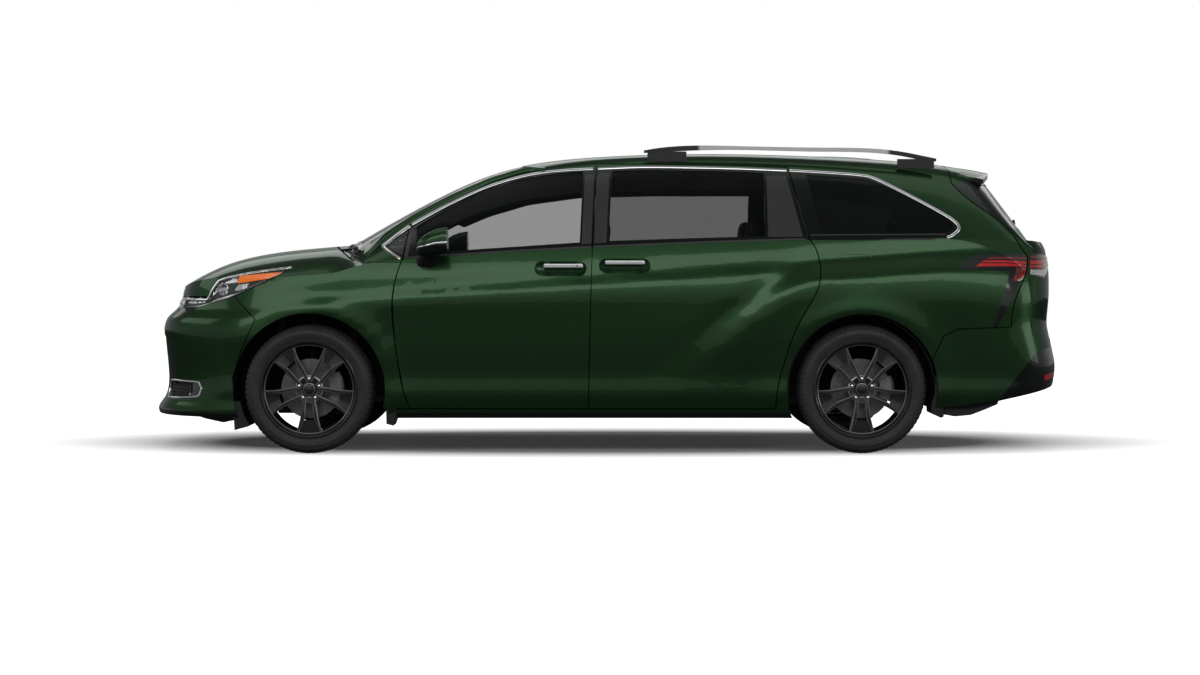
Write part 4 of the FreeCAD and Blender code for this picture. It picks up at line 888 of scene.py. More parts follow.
# Rear lamps: lit strips over the black housings, carried on round the corner of the tailgate
rearTree, gateTree = treeOf("tail_lamps"), treeOf("tailgate")
dimRed = plainFinish("dimRed", (0.16, 0.014, 0.016), (0.27, 0.032, 0.034), (0.1, 0.2), 0.0, 500.0, 0.0003,
                     60.0, 1.0, stretch=(1.0, 1.0, 8.0))
for name, material, upperLine, lowerLine in (
        ("strip_top", dimRed, [(2.138, 1.0895), (2.250, 1.0905), (2.345, 1.0880)],
         [(2.118, 1.078), (2.250, 1.078), (2.345, 1.0755)]),
        ("strip_mid", redLens, [(2.108, 1.071), (2.250, 1.070), (2.345, 1.064)],
         [(2.088, 1.0600), (2.250, 1.0585), (2.345, 1.049)]),
        ("strip_low", redLens, [(2.080, 1.0545), (2.290, 1.0525), (2.345, 1.043)],
         [(2.058, 1.0380), (2.280, 1.0380), (2.345, 1.032)]),
        ("leg_dim", dimRed, [(2.288, 1.033), (2.277, 0.992), (2.262, 0.959)],
         [(2.341, 1.028), (2.316, 0.996), (2.267, 0.959)]),
        ("leg_red", redLens, [(2.343, 1.025), (2.320, 0.995), (2.271, 0.958)],
         [(2.345, 1.013), (2.325, 0.984), (2.283, 0.958)]),
        ("leg_clear", clearLens, [(2.345, 1.009), (2.328, 0.981), (2.287, 0.958)],
         [(2.343, 0.998), (2.335, 0.975), (2.306, 0.958)])):
    pair("rear_" + name, panelOn(rearTree, upperLine, lowerLine, 0.0012, 0.003), material, "root")


def gateBand(topEnds, lowEnds, proud):
    # a band on the tailgate from its outer edge to y -0.40; the ends give z at four even steps
    turn = np.radians(np.linspace(31.5, 90.0, 44))
    tail = np.linspace(-0.55, -0.40, 12)[1:]
    starts = np.concatenate([np.stack([2.15 + np.sin(turn), -0.55 - np.cos(turn)], -1),
                             np.stack([np.full(11, 3.15), tail], -1)])
    ways = np.concatenate([np.stack([-np.sin(turn), np.cos(turn)], -1), np.tile([-1.0, 0.0], (11, 1))])
    steps = np.linspace(0, 1, len(starts))
    top, low = (np.interp(steps, np.linspace(0, 1, 4), ends) for ends in (topEnds, lowEnds))
    heights = top[None] + (low - top)[None] * np.linspace(0, 1, 5)[:, None]
    starts = np.concatenate([np.tile(starts, (5, 1)), heights.reshape(-1, 1)], 1)
    ways = np.insert(np.tile(ways, (5, 1)), 2, 0.0, axis=1)
    hits = cast(gateTree, starts, ways).reshape(5, -1, 3)
    ways = ways.reshape(hits.shape)
    return slab(hits - ways * proud, hits + ways * 0.002)


for name, material, highEnds, lowEnds, proud in (
        ("housing", glossBlack, (1.108, 1.106, 1.098, 1.085), (0.985, 0.972, 1.030, 1.050), 0.003),
        ("top", dimRed, (1.096, 1.095, 1.090, 1.080), (1.082, 1.082, 1.080, 1.073), 0.0045),
        ("mid", redLens, (1.070, 1.070, 1.072, 1.068), (1.050, 1.050, 1.058, 1.058), 0.0045),
        ("low", redLens, (1.044, 1.044, 1.052, 1.056), (1.030, 1.030, 1.042, 1.052), 0.0045),
        ("clear", clearLens, (1.020, 1.018, 1.036, 1.051), (0.994, 0.982, 1.033, 1.0505), 0.0045)):
    pair("gate_lamp_" + name, gateBand(highEnds, lowEnds, proud), material, "tailgate_lid")
print("rear lamps done")

# Front end: the frames round the side vents, their meshes, the grille bar and the air guides under the bumper
bumperTree = treeOf("front_bumper")
ventPlan = {
    "centre": (-2.05, -0.45),
    "frame": [(-167.0, 0.392), (-150.0, 0.394), (-135.0, 0.394), (-122.0, 0.393), (-118.0, 0.388),
              (-115.2, 0.358), (-117.2, 0.316), (-120.5, 0.309), (-135.0, 0.302), (-150.0, 0.297),
              (-166.0, 0.293), (-169.5, 0.318), (-170.5, 0.345), (-169.0, 0.372), (-167.0, 0.392)],
    "mesh": [(-0.775, 0.312), (-0.775, 0.380), (-0.60, 0.382), (-0.565, 0.345), (-0.590, 0.309)],
    "skin": [(-0.820, -2.268), (-0.767, -2.330), (-0.705, -2.382), (-0.630, -2.427), (-0.540, -2.462)],
    "cell": 0.021, "bar": 0.0042, "deep": 0.006,
}
ventMarks = np.array(ventPlan["frame"])
ventSteps = np.linspace(0, len(ventMarks) - 1, 181)[:-1]
ventAngles, ventHeights = (np.interp(ventSteps, np.arange(len(ventMarks)), marks) for marks in ventMarks.T)
ventPath, ventOut = fan(bumperTree, ventPlan["centre"], ventAngles, ventHeights)
ventPath = np.stack([np.convolve(np.concatenate([c[-2:], c, c[:2]]), np.ones(5) / 5, "valid")
                     for c in ventPath.T], -1)
pair("vent_frame", moulding(ventPath, ventOut, 0.011, 0.004, 0.010, loop=True), chrome, "root")
patchAngles, patchHeights = np.meshgrid(np.linspace(-116.8, -128.0, 16), np.linspace(0.314, 0.386, 6),
                                        indexing="xy")
patchSkin, patchOut = fan(bumperTree, ventPlan["centre"], patchAngles.ravel(), patchHeights.ravel())
patchSkin, patchOut = patchSkin.reshape(6, 16, 3), patchOut.reshape(6, 16, 3)
pair("vent_end", slab(patchSkin + patchOut * 0.002, patchSkin - patchOut * 0.004), glossBlack, "root")
slotPath, slotOut = fan(bumperTree, ventPlan["centre"], np.linspace(-160, -119.5, 60), np.full(60, 0.2885))
pair("vent_slot", moulding(slotPath, slotOut, 0.009, 0.0006, 0.002), glossBlack, "root")


def ventMesh():
    # a lattice of six-sided openings, each cell a small ring of bars that follows the bumper's skin
    cell, shapes = ventPlan["cell"], []
    ys, zs = np.array(ventPlan["mesh"]).T
    skinY, skinX = np.array(ventPlan["skin"]).T
    turn = np.radians(30 + 60 * np.arange(6))
    outer, inner = cell * 0.577, cell * 0.577 - ventPlan["bar"]
    for row, z in enumerate(np.arange(min(zs), max(zs), cell * 0.866)):
        for y in np.arange(min(ys) + (row % 2) * cell / 2, max(ys), cell):
            if not inPolygon(np.array([y]), np.array([z]), ventPlan["mesh"])[0]:
                continue
            ring = []
            for radius, dx in ((outer, 0.0), (inner, 0.001), (inner, ventPlan["deep"]),
                               (outer, ventPlan["deep"])):
                cornerY, cornerZ = y + radius * np.cos(turn), z + radius * np.sin(turn)
                skin = np.interp(cornerY, skinY, skinX) + 0.21 * (cornerZ - 0.345) + 0.002
                ring.append(np.stack([skin + dx, cornerY, cornerZ], -1))
            shapes.append((np.stack(ring, 1).reshape(-1, 3),
                           gridFaces(6, 4, loopRows=True, loopColumns=True).tolist()))
    return joinShapes(shapes)


pair("vent_mesh", ventMesh(), trimBlack, "root", 30)
grilleTree = treeOf("upper_grille")
barPath = []
for y in np.linspace(-0.52, 0.52, 60):
    hits = [grilleTree.ray_cast(Vector((-3.0, y, z)), Vector((1.0, 0.0, 0.0)))[0]
            for z in np.linspace(0.78, 0.95, 86)]
    barPath.append(np.mean([hit for hit in hits if hit is not None], axis=0))
barPath = np.array(barPath)
for axis in (0, 2):
    barPath[:, axis] = np.polyval(np.polyfit(barPath[:, 1], barPath[:, axis], 4), barPath[:, 1])
makePiece("grille_bar", moulding(barPath, np.array([-1.0, 0.0, 0.3]), 0.020, 0.004, 0.004), chrome, "root")
airGuides = [
    extruded([(-2.30, 0.212), (-2.225, 0.186), (-2.125, 0.164), (-2.066, 0.176), (-2.060, 0.222),
              (-2.20, 0.222)], -0.790, -0.55),
    extruded([(-2.052, 0.290), (-2.0425, 0.130), (-1.968, 0.150), (-1.962, 0.165), (-1.985, 0.200),
              (-2.012, 0.290)],
             -0.930, -0.60)]
mudFlaps = [
    extruded([(-1.206, 0.430), (-1.190, 0.436), (-1.148, 0.250), (-1.143, 0.205), (-1.160, 0.156),
              (-1.199, 0.166), (-1.203, 0.30)], -0.950, -0.760),
    extruded([(1.838, 0.440), (1.866, 0.436), (1.880, 0.300), (1.884, 0.207), (1.869, 0.199), (1.818, 0.222),
              (1.815, 0.271), (1.835, 0.330)], -0.950, -0.720)]
pair("air_guides", joinShapes(airGuides), trimBlack, "root", 25)
pair("mud_flaps", joinShapes(mudFlaps), trimBlack, "root", 25)
tray = extruded([(1.890, 0.262), (1.889, 0.216), (1.948, 0.206), (2.037, 0.214), (2.120, 0.246),
                 (2.185, 0.274), (2.190, 0.292), (2.04, 0.266)], -0.925, 0.925)
makePiece("rear_tray", tray, trimBlack, "root", 25)
print("front end done")

# Mirrors, window surrounds and side lines
mirrorPlan = {"glassX": -0.853, "depth": 0.172, "centre": (-1.068, 1.178), "half": (0.093, 0.073),
              "glassHalf": (0.084, 0.063), "drop": 0.046}
reach, around = np.meshgrid(np.linspace(0.0, 1.0, 22), np.linspace(0, 2 * math.pi, 72, endpoint=False),
                            indexing="ij")
narrow = np.clip(1 - reach ** 2.5, 0, 1) ** (1 / 2.5)
headY, headZ = (bent(wave(around), power) * half * narrow + middle for wave, power, half, middle in zip(
    (np.cos, np.sin), (0.6, 0.65), mirrorPlan["half"], mirrorPlan["centre"]))
headX = mirrorPlan["glassX"] - mirrorPlan["depth"] * reach
headShape = closedGrid(np.stack([headX, headY, headZ - mirrorPlan["drop"] * reach ** 1.6], -1), last=False)
# the foot: ovals carried from the door out to the underside of the head
share = np.linspace(0.0, 1.0, 12)[:, None]
around = np.linspace(0, 2 * math.pi, 28, endpoint=False)[None]
footX = -0.981 + 0.050 * share + (0.056 - 0.012 * share) * bent(np.cos(around), 0.7)
footZ = 1.050 + 0.075 * share ** 0.8 + (0.040 - 0.018 * share) * bent(np.sin(around), 0.7)
footShape = closedGrid(np.stack([footX, -0.918 - 0.130 * share + 0 * around, footZ], -1))
for side, turned in (("left", np.asarray), ("right", flip)):
    body = "front_door_" + side
    head = makePiece("mirror_head_" + side, (turned(headShape[0]), headShape[1]), mirrorPaint, body,
                     40)
    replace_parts(head, "mirror_" + side)
    makePiece("mirror_foot_" + side, (turned(footShape[0]), footShape[1]), trimBlack, body, 40)
mirrorSkin = BVHTree.FromPolygons(headShape[0].tolist(), headShape[1])
stripTurn = np.linspace(-55, -158, 50)
stripAway = np.stack([np.cos(np.radians(stripTurn)), np.sin(np.radians(stripTurn)), 0 * stripTurn], -1)
stripStarts = np.array([-0.900, -1.066, 0.0]) + stripAway * 0.5
stripStarts[:, 2] = np.interp(-stripTurn, [55, 100, 158], [1.169, 1.164, 1.140])
stripPath = cast(mirrorSkin, stripStarts, -stripAway)
pair("mirror_strip", moulding(stripPath, stripAway, 0.016, 0.003, 0.003, ends=0.45), chrome,
     "front_door_left")
around = np.linspace(0, 2 * math.pi, 64, endpoint=False)
centre = np.array(mirrorPlan["centre"])
oval = squaredOval(around, centre, mirrorPlan["glassHalf"], (0.60, 0.65))
rings = np.stack([np.insert(centre + (oval - centre) * size, 0, x, axis=1)
                  for size,
                  x in ((1.0, -0.8545), (1.0, -0.8522), (0.97, -0.8518), (0.5, -0.8516), (0.0, -0.8516))])
pair("mirror_glass", closedGrid(rings, last=False), mirrorGlass, "front_door_left", 40)

frameTree, slideTree = treeOf("side_frame_left"), treeOf("sliding_doors")
ribs = [panelOn(frameTree, [(-1.180, z + 0.002), (-1.112, z + 0.002)],
                [(-1.180, z - 0.003), (-1.112, z - 0.003)], 0.0018, 0.003)
        for z in (1.182, 1.145)]
pair("window_bar", panelOn(treeOf("door_left", "door_glass_left"), [(-1.078, 1.256), (-1.104, 1.088)],
                           [(-1.054, 1.266), (-1.082, 1.092)], 0.0015, 0.004), pillarGrey, "front_door_left")
pair("corner_panel", panelOn(frameTree, [(-1.186, 1.170), (-1.140, 1.206), (-1.094, 1.238)],
                             [(-1.186, 1.142), (-1.150, 1.120), (-1.112, 1.100)], 0.0012, 0.004),
     pillarGrey, "root")
pair("corner_ribs", joinShapes(ribs), glossBlack, "root")
for name, line, width, height, body, count in (
        ("belt_door", [(-1.098, 1.0835)] + belt[2:5] + [(-0.068, 1.1455)], 0.011, 0.003, "front_door_left",
         70),
        ("belt_slide", [(-0.052, 1.1465), (0.577, 1.172), (1.118, 1.1895)], 0.011, 0.003, "root", 70),
        ("belt_quarter", [(1.150, 1.211), (1.50, 1.213), (1.900, 1.215)], 0.007, 0.002, "root", 50)):
    strip(name, line, width, height, pillarGrey, body, count)
for name, tree, frontLine, rearLine, body in (
        ("rear", slideTree, [(0.915, 1.545), (0.915, 1.200)], [(1.026, 1.545), (1.108, 1.202)], "root"),
        ("slide", slideTree, [(-0.036, 1.560), (-0.050, 1.166)], [(0.036, 1.560), (0.018, 1.168)], "root"),
        ("door", treeOf("door_left"), [(-0.102, 1.550), (-0.120, 1.160)], [(-0.050, 1.555), (-0.066, 1.162)],
         "front_door_left")):
    pair("pillar_" + name, panelOn(tree, frontLine, rearLine, 0.0012, 0.003), pillarGrey, body)
flapLine = squaredOval(around, (1.394, 1.010), (0.101, 0.093), (0.35, 0.35))
flapPath = cast(frameTree, fromSide(flapLine), (0, 1, 0))
flapRing = moulding(flapPath, np.array([0.0, -1.0, 0.0]), 0.003, 0.0004, 0.003, loop=True)
makePiece("fuel_flap_line", flapRing, glossBlack, "root")
points, faces = lathe([(0.0, 0.0), (0.0045, 0.0), (0.0050, 0.0015), (0.0050, 0.006), (0.0, 0.006)], 20,
                      loop=False)
pair("lock_cover", (points + np.array([-0.146, -0.9600, 1.0405]), faces), glossBlack, "front_door_left")

# Painted pillars beside the windscreen: each cross-section runs from the chrome up over a crown to the glass
pillarPlan = {"front": -1.335, "back": -0.330, "inner": -0.550, "crown": 0.032, "proud": 0.004, "rows": 13,
              "columns": 64}
pillarX = np.linspace(pillarPlan["front"], pillarPlan["back"], pillarPlan["columns"])
outerMarks = np.array([(-1.335, 1.088), (-1.309, 1.101), (-1.235, 1.160)]
                      + [(x, z + 0.012) for x, z in top[1:7]])
outerLine = onSide(np.stack([pillarX, np.interp(pillarX, outerMarks[:, 0], outerMarks[:, 1])], -1))
outerLine[:, 1] = np.polyval(np.polyfit(pillarX, outerLine[:, 1], 4), pillarX) - 0.001
frontTree = treeOf("windscreen", "roof_panel")
found = [frontTree.ray_cast(Vector((x, pillarPlan["inner"], 2.2)), Vector((0.0, 0.0, -1.0)))[0]
         for x in pillarX]
known = [k for k, hit in enumerate(found) if hit is not None and hit[2] > 1.05]
curve = np.polyfit(pillarX[known], [found[k][2] for k in known], 4)
innerLine = np.stack([pillarX, np.full(len(pillarX), pillarPlan["inner"]), np.polyval(curve, pillarX)], -1)
share = np.linspace(0.0, 1.0, pillarPlan["rows"])[:, None, None]
endFade = np.clip(np.minimum(pillarX - pillarPlan["front"], pillarPlan["back"] - pillarX) / 0.10, 0,
                  1)[None, :, None]
crown = pillarPlan["proud"] + pillarPlan["crown"] * np.sin(np.pi * share ** 0.8) ** 0.8 * endFade
lean = np.array([0.0, -0.35, 0.94])
pillarSkin = outerLine[None] + (innerLine - outerLine)[None] * share + lean * crown
pillarSkin[-1] = innerLine - lean * 0.003
pillarSkin[0] = outerLine + np.array([0.0, 0.004, 0.0])
pair("pillar_skin", slab(pillarSkin, pillarSkin - lean * 0.006), plainPaint, "root", 50)

# Trim that hangs inside above the side windows, from a drawn lower line up to the chrome; near black, partly
# the trim's own colour and partly painted shade of the cabin roof
trimLow = np.array([(-1.15, 1.160), (-1.02, 1.228), (-0.90, 1.290), (-0.86, 1.270), (-0.70, 1.337),
                    (-0.456, 1.408), (-0.153, 1.450), (0.30, 1.462), (0.90, 1.462), (1.45, 1.440),
                    (1.75, 1.385)])
trimX = np.linspace(-1.15, 1.75, 70)
trimZ = np.interp(trimX, trimLow[:, 0], trimLow[:, 1])
trimTop = np.interp(trimX, [point[0] for point in top], [point[1] - 0.015 for point in top])
trimHeight = trimZ + (trimTop - trimZ) * np.linspace(0.0, 1.0, 7)[:, None]
trimY = -0.735 + 0.105 * np.clip((trimHeight - 1.25) / 0.32, 0, 1)
trimOuter = np.stack([np.tile(trimX, (7, 1)), trimY, trimHeight], -1)
pair("roof_trims_and_shade", slab(trimOuter, trimOuter + np.array([0.0, 0.018, 0.0])), wellBlack, "root",
     50)
print("mirrors and side lines done")

# Tail: plate, handle bar, lamps and reflectors on the tailgate and bumper, and the wipers
plateSpot = cast(gateTree, [(3.0, 0.0, 0.86)], (-1, 0, 0))[0]
rearBumperTree, lid = treeOf("rear_bumper"), "tailgate_lid"


def bentPlate(y0, y1, z0, z1, proud, thick, tree=gateTree):
    middle = (y0 + y1) / 2
    upper, lower = ([(y0, z), (middle, z), (y1, z)] for z in (z1, z0))
    return panelOn(tree, upper, lower, proud, thick, 6, 30, rear=True)


for name, shape, material, body, slot in (
        ("plate_recess", bentPlate(-0.215, 0.215, 0.770, 0.950, 0.0015, 0.003), trimBlack, lid, "black_trim"),
        ("number_plate", bentPlate(-0.1525, 0.1525, 0.784, 0.936, 0.0060, 0.0040), plateWhite, lid,
         "body_paint"),
        ("gate_bar", bentPlate(-0.400, 0.400, 0.962, 0.990, 0.0065, 0.0080), chrome, lid, "bright_metal"),
        ("gate_centre", bentPlate(-0.400, 0.400, 1.052, 1.082, 0.0025, 0.0050), glossBlack, lid,
         "black_trim"),
        ("gate_camera", bentPlate(-0.030, 0.030, 0.948, 0.962, 0.0100, 0.0100), glossBlack, lid,
         "black_trim"),
        ("rear_skid", bentPlate(-0.70, 0.70, 0.345, 0.395, 0.0015, 0.003, rearBumperTree), satinSilver,
         "root", "black_trim"),
        ("rear_step", bentPlate(-0.62, 0.62, 0.612, 0.630, 0.0015, 0.003, rearBumperTree), trimBlack, "root",
         "black_trim"),
        ("high_brake_lamp",
         panelOn(gateTree, [(-0.17, 1.556), (0.17, 1.556)], [(-0.17, 1.544), (0.17, 1.544)], 0.002, 0.004,
                                    rear=True), redLens, lid, "tail_glass")):
    makePiece(name, shape, material, body)
bolt = lathe([(0.0, -0.0035), (0.0045, -0.003), (0.0065, 0.0), (0.0065, 0.004), (0.0, 0.004)], 18, loop=False)
bolts = [(bolt[0][:, [1, 0, 2]] * np.array([-1.0, 1.0, 1.0]) + np.array([plateSpot[0] + 0.0085, y, 0.914]),
          bolt[1])
         for y in (-0.0889, 0.0889)]
makePiece("plate_bolts", joinShapes(bolts), castAluminium, lid)
reflectors = panelOn(rearBumperTree, [(-0.86, 0.432), (-0.70, 0.442)], [(-0.85, 0.404), (-0.70, 0.418)],
                     0.003, 0.004, rear=True)
pair("rear_reflectors", reflectors, redLens, "root")
screen, gateGlass = treeOf("windscreen", "cowl"), treeOf("tailgate", "rear_glass")
for name, tree, marks, ahead, lift, width, material, body in (
        ("wiper_blade_left", screen, [(-0.56, 1.140), (-0.36, 1.154), (-0.04, 1.162)], 1.0, 0.005, 0.010,
         rubber, "root"),
        ("wiper_blade_right", screen, [(0.02, 1.146), (0.32, 1.152), (0.56, 1.138)], 1.0, 0.005, 0.010,
         rubber, "root"),
        ("wiper_arm_left", screen, [(-0.50, 1.124), (-0.42, 1.136), (-0.30, 1.154)], 1.0, 0.010, 0.014,
         trimBlack, "root"),
        ("wiper_arm_right", screen, [(0.12, 1.122), (0.20, 1.132), (0.30, 1.150)], 1.0, 0.010, 0.014,
         trimBlack, "root"),
        ("rear_wiper_blade", gateGlass, [(-0.32, 1.300), (-0.16, 1.292), (0.00, 1.282)], -1.0, 0.008, 0.009,
         rubber, lid),
        ("rear_wiper_arm", gateGlass, [(0.05, 1.246), (0.0, 1.262), (-0.16, 1.294)], -1.0, 0.014, 0.016,
         trimBlack, lid)):
    # a thin arm or blade laid over the glass at a set height, along marks in y and z
    way = np.array([ahead, 0.0, 0.0])
    path = cast(tree, np.insert(smoothLine(marks, 40), 0, -3.0 * ahead, axis=1), way) - way * lift
    path = np.stack([evened(c, 3) for c in path.T], -1)
    makePiece(name, moulding(path, -way, width, 0.010, 0.004, ends=0.7), material, body)
print("tail and wipers done")

# Cabin: padded seats, their plinths and head rest rods, console, screen and door rests
padPlan = {"voxel": 0.008, "pressure": 4.0, "frames": 20, "cap": 0.022}


def softBlock(half, power=0.32, rows=40, columns=64):
    # a rounded block: a ball whose sines and cosines are raised to small powers
    a = np.linspace(-math.pi / 2, math.pi / 2, rows)[:, None]
    b = np.linspace(0, 2 * math.pi, columns, endpoint=False)[None]
    flat = bent(np.cos(a), power)
    grid = np.stack([half[0] * flat * bent(np.cos(b), power), half[1] * flat * bent(np.sin(b), power),
                     half[2] * bent(np.sin(a), power) * np.ones_like(b)], -1)
    return closedGrid(grid, first=False, last=False)


def shapedPad(kind):
    # squab: bolsters and a rounded front; back: bolsters and a narrower top; rest: a plain rounded pad
    half, power = {"squab": ((0.238, 0.226, 0.062), 0.32), "back": ((0.042, 0.218, 0.288), 0.32),
                   "rest": ((0.034, 0.112, 0.076), 0.5)}[kind]
    points, faces = softBlock(half, power)
    x, y, z = points.T
    if kind == "squab":
        rise = 0.024 * np.clip((np.abs(y) - 0.12) / 0.09, 0, 1) ** 1.5
        z = z + np.where(z > 0, rise, 0) - np.where(z > 0, 0.030 * np.clip((-x - 0.13) / 0.11, 0, 1) ** 2, 0)
    elif kind == "back":
        rise = 0.030 * np.clip((np.abs(y) - 0.11) / 0.09, 0, 1) ** 1.4 * np.clip((0.22 - z) / 0.12, 0, 1)
        x = x - np.where(x < 0, rise, 0)
        y = y * (1 - 0.16 * np.clip((z - 0.08) / 0.20, 0, 1) ** 1.6)
    else:
        x = x - 0.012 * np.clip((z + 0.02) / 0.09, 0, 1)
    return np.stack([x, y, z], -1), faces


def bakedMesh(piece):
    baked = bpy.data.meshes.new_from_object(piece.evaluated_get(bpy.context.evaluated_depsgraph_get()))
    piece.modifiers.clear()
    piece.data = baked
    return baked


def coordinates(mesh):
    co = np.empty(len(mesh.vertices) * 3)
    mesh.vertices.foreach_get("co", co)
    return co.reshape(-1, 3)


def puffed(kind):
    # a shaped pad with even mesh, sewn lines held still while pressure fills it, and its travel capped
    piece = closedMesh("pad_" + kind, shapedPad(kind), 1e-4)
    even = piece.modifiers.new("even", "REMESH")
    even.mode, even.voxel_size = "VOXEL", padPlan["voxel"]
    mesh = bakedMesh(piece)
    start = coordinates(mesh)
    x, across, z = start.T
    along, face, inward = z, x < -0.02, np.array([1.0, 0, 0])
    if kind == "squab":
        along, face, inward = x, z > 0.03, np.array([0, 0, -1.0])
    seam = face & (np.abs(np.abs(across) - 0.125) < 0.0055)
    for cut in {"squab": (-0.06, 0.06), "back": (-0.12, 0.0, 0.12), "rest": ()}[kind]:
        seam |= face & (np.abs(along - cut) < 0.0055) & (np.abs(across) < 0.13)
    start = start + inward * np.where(seam, 0.006, 0.0)[:, None]
    mesh.vertices.foreach_set("co", start.ravel())
    held = piece.vertex_groups.new(name="held")
    held.add([int(k) for k in np.nonzero(seam)[0]], 1.0, "REPLACE")
    cloth = piece.modifiers.new("cloth", "CLOTH")
    cloth.settings.use_pressure = True
    cloth.settings.uniform_pressure_force = padPlan["pressure"]
    cloth.settings.effector_weights.gravity = 0.0
    cloth.settings.vertex_group_mass = "held"
    for frame in range(1, padPlan["frames"] + 1):
        bpy.context.scene.frame_set(frame)
    mesh = bakedMesh(piece)
    bpy.context.scene.frame_set(1)
    move = coordinates(mesh) - start
    length = np.linalg.norm(move, axis=1)
    start = start + move * np.minimum(1.0, padPlan["cap"] / np.maximum(length, 1e-9))[:, None]
    faces = [list(p.vertices) for p in mesh.polygons]
    bpy.data.objects.remove(piece)
    return start, faces


def placed(shape, lean, spot, wide=1.0):
    # the pad leaned back by an angle, narrowed if asked, and set at a spot
    turn = math.radians(lean)
    points = shape[0] * np.array([1.0, wide, 1.0])
    x = points[:, 0] * math.cos(turn) + points[:, 2] * math.sin(turn)
    z = -points[:, 0] * math.sin(turn) + points[:, 2] * math.cos(turn)
    return np.stack([x, points[:, 1], z], -1) + np.array(spot), shape[1]


def seatFrame(x, y, floorZ, wide):
    # the plinth under a seat and the two rods of its head rest
    block = softBlock((0.19, 0.15 * wide, 0.10), 0.12, 16, 40)
    shapes = [(block[0] + np.array([x, y, floorZ + 0.101]), block[1])]
    turn = np.linspace(0, 2 * math.pi, 13)[:-1]
    ring = np.stack([np.cos(turn), np.sin(turn)], -1) * 0.006
    for rod in (-0.06, 0.06):
        foot, head = np.array([x + 0.345, y + rod, floorZ + 0.80]), np.array([x + 0.408, y + rod,
                                                                              floorZ + 0.93])
        line = foot + (head - foot) * np.linspace(0, 1, 4)[:, None]
        shapes.append(sweep(line, np.tile([0, 1.0, 0], (4, 1)), np.tile([0.9, 0, -0.43], (4, 1)), ring))
    return shapes


pads = {kind: puffed(kind) for kind in ("squab", "back", "rest")}
print("pads simulated")
for node, x, sides, floorZ, squab, wide in (
        ("front_seats", -0.420, (-0.40, 0.40), 0.258, 0.160, 1.0),
        ("middle_seats", 0.430, (-0.40, 0.40), 0.258, 0.160, 0.96),
        ("rear_seats", 1.370, (-0.40, 0.0, 0.40), 0.450, 0.130, 0.80)):
    low = floorZ + 0.19
    for part, lean, dx, height, narrow, fill in (
            ("squab", 2, 0, low + squab * 0.5, wide, 0.6),
            ("back", 16, 0.190 + 0.052 + 0.083, low + 0.02 + squab * 0.4 + 0.30, wide, 0.55),
            ("rest", 12, 0.365 + 0.062, low + squab * 0.4 + 0.625 + 0.083, min(wide, 0.95), 0.6)):
        row = joinShapes([placed(pads[part], lean, (x + dx, y, height), narrow) for y in sides])
        piece = makePiece(node + "_" + part, row, leather, "root", 60)
        if part == "squab":
            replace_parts(piece, node)
    stand = joinShapes([shape for y in sides for shape in seatFrame(x, y, floorZ, wide)])
    makePiece(node + "_frames", stand, cabinPlastic, "root", 40)

# the dashboard's cross-section, drawn in towards its middle at both ends
dashRun = np.array([(-1.150, 0.705), (-1.150, 1.030), (-1.110, 1.044), (-1.000, 1.040), (-0.905, 1.030),
                    (-0.868, 1.010), (-0.852, 0.985), (-0.868, 0.945), (-0.862, 0.925), (-0.872, 0.895),
                    (-0.925, 0.822), (-0.955, 0.710)])
dashY = (-0.768, -0.764, -0.750, -0.56, -0.38, -0.20, -0.14, 0.0, 0.14, 0.20, 0.45, 0.72, 0.750, 0.764, 0.768)
dashMiddle = np.array([-1.0, 0.87])
dashSize = [0.94, 0.98] + [1.0] * 11 + [0.98, 0.94]
dashRings = np.stack([np.insert(dashMiddle + (dashRun - dashMiddle) * size, 1, y, axis=1) for y,
                      size in zip(dashY, dashSize)])
dash = makePiece("dash_panel", closedGrid(dashRings), cabinPlastic, "root", 32)
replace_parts(dash, "dashboard")
screens = [extruded([(-0.870, 0.975), (-0.862, 0.975), (-0.888, 1.105), (-0.896, 1.105)], -0.155, 0.155),
           extruded([(-0.905, 1.000), (-0.898, 1.000), (-0.915, 1.085), (-0.922, 1.085)], -0.52, -0.24)]
vane = np.array([(-0.8535, 0.950), (-0.8500, 0.950), (-0.8500, 0.953), (-0.8535, 0.953)])
vents = [extruded(vane + np.array([-0.0008, 0.009]) * k, y, y + 0.13) for y in (-0.74, -0.13, 0.0, 0.61)
         for k in range(5)]
console = extruded([(-0.860, 0.705), (-0.855, 0.900), (-0.740, 0.800), (-0.640, 0.690), (-0.20, 0.640),
                    (-0.18, 0.500), (-0.20, 0.310), (-0.80, 0.310)], -0.120, 0.120)
makePiece("screens", joinShapes(screens), glossBlack, "root", 30)
makePiece("air_vents", joinShapes(vents), satinSilver, "root", 30)
makePiece("centre_console", console, cabinPlastic, "root", 25)
for name, body, blocks in (
        ("door_rests", "front_door_left", [((0.325, 0.026, 0.035), (-0.575, -0.838, 0.735)),
                                           ((0.39, 0.015, 0.045), (-0.59, -0.849, 0.375))]),
        ("slide_rests", "root", [((0.30, 0.022, 0.035), (0.52, -0.842, 0.74))])):
    rests = [(softBlock(half, 0.2, 14, 40)[0] + np.array(spot), softBlock(half, 0.2, 14, 40)[1]) for half,
             spot in blocks]
    pair(name, joinShapes(rests), leather, body, 50)
print("cabin done")

# Studio: a pale floor that turns white away from the van, to the camera only; its glow fades near the van,
# painted shade round it, and other rays see a dark copy of it, painted shade on what faces it


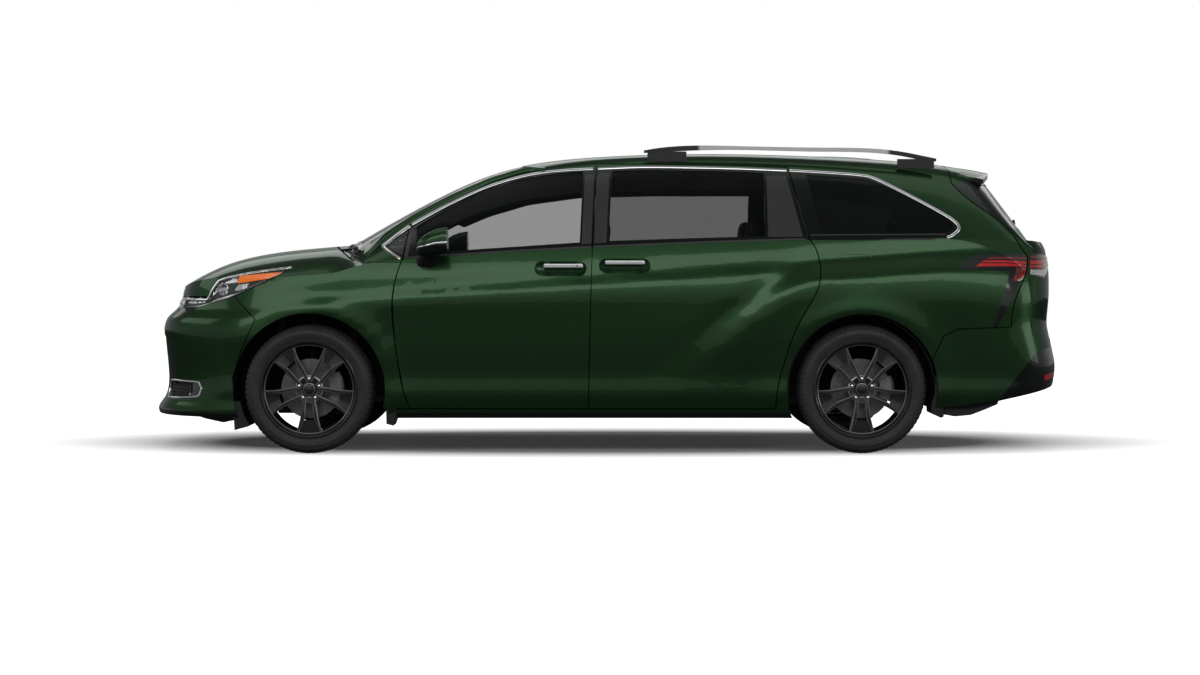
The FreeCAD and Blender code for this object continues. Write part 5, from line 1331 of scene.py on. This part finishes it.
def floorFinish():
    material, tree, shader, place = startMaterial("studioFloor")
    toCamera = tree.nodes.new("ShaderNodeLightPath").outputs["Is Camera Ray"]
    patches = spread(tree, addNoise(tree, place, 2.0), 0.0, 1.0)
    pale = mixColours(tree, patches, (0.80, 0.80, 0.80), (0.82, 0.82, 0.82))
    # rays other than the camera's see the floor dark, 0.14, a shaded copy: painted shade on the lower body
    # that faces it
    tree.links.new(mixColours(tree, toCamera, (0.14, 0.14, 0.14), pale), shader.inputs["Base Color"])
    x, y = axesOf(tree, place)[:2]
    squares = calculate(tree, "ADD", calculate(tree, "POWER", times(tree, x, 0.36), 2.0),
                        calculate(tree, "POWER", y, 2.0))
    away = calculate(tree, "POWER", squares, 0.5)
    # the glow falls from 1.0 to 0.03 towards the van, so the floor round it stays darker: painted shade on
    # top of the lamps' real shadow
    glowPastPaintedShade = times(tree, toCamera, spread(tree, away, 0.03, 1.0, 0.80, 1.40))
    tree.links.new(glowPastPaintedShade, shader.inputs["Emission Strength"])
    shader.inputs["Emission Color"].default_value = (1.0, 1.0, 1.0, 1.0)
    shader.inputs["Roughness"].default_value = 0.9
    shader.inputs["Specular IOR Level"].default_value = 0.0
    return material


half = 30.0
floorMesh = bpy.data.meshes.new("studioFloor")
floorMesh.from_pydata([(-half, -half, 0), (half, -half, 0), (half, half, 0), (-half, half, 0)], [],
                      [(0, 1, 2, 3)])
floor = bpy.data.objects.new("studioFloor", floorMesh)
bpy.context.scene.collection.objects.link(floor)
floorMesh.materials.append(floorFinish())

world = bpy.data.worlds.new("studioSky")
bpy.context.scene.world = world
world.use_nodes = True
skyTree = world.node_tree
backing = skyTree.nodes["Background"]
skyHeight = axesOf(skyTree, skyTree.nodes.new("ShaderNodeTexCoord").outputs["Generated"])[2]
# pale near the horizon, dark higher up, a little brighter overhead, and white to the camera
upward = spread(skyTree, skyHeight, 0.0, 1.0, 0.75, 1.0)
level = spread(skyTree, calculate(skyTree, "ABSOLUTE", skyHeight), 0.0, 1.0, 0.12, 0.40)
lowTone = mixColours(skyTree, level, (0.38, 0.39, 0.39), (0.12, 0.125, 0.125))
skyTone = mixColours(skyTree, upward, lowTone, (0.34, 0.35, 0.35))
skyRay = skyTree.nodes.new("ShaderNodeLightPath").outputs["Is Camera Ray"]
skyTree.links.new(mixColours(skyTree, skyRay, skyTone, (1.0, 1.0, 1.0)), backing.inputs["Color"])
backing.inputs["Strength"].default_value = 1.0

for name, place, target, size, power in (
        ("overhead", (0.0, 0.0, 6.0), (0, 0, 0), (9.0, 4.0), 60),
        ("sideStrip", (0.0, -8.0, 4.1), (0, 0, 0.95), (16.0, 2.2), 230),
        ("farStrip", (0.0, 8.0, 4.1), (0, 0, 0.95), (16.0, 2.2), 120),
        ("rearStrip", (9.0, -2.6, 1.7), (2.4, -0.6, 0.8), (3.2, 1.8), 36),
        ("frontStrip", (-9.0, 0.0, 4.4), (-2.0, 0, 0.8), (8.0, 2.0), 60)):
    lamp = bpy.data.lights.new(name, "AREA")
    lamp.shape = "RECTANGLE"
    lamp.size, lamp.size_y = size
    lamp.energy = power
    light = bpy.data.objects.new(name, lamp)
    light.location = place
    light.rotation_euler = (Vector(target) - Vector(place)).to_track_quat("-Z", "Y").to_euler()
    bpy.context.scene.collection.objects.link(light)

camera = bpy.data.cameras.new("camera")
camera.lens, camera.sensor_width = 76.05, 36.0
camera.clip_end = 200
viewer = bpy.data.objects.new("camera", camera)
viewer.location = (-0.0176, -14.95, 1.0836)
viewer.rotation_euler = (math.radians(90 - 1.796), 0, 0)
bpy.context.scene.collection.objects.link(viewer)
bpy.context.scene.camera = viewer
bpy.context.scene.view_settings.view_transform = "Standard"
print("studio done")
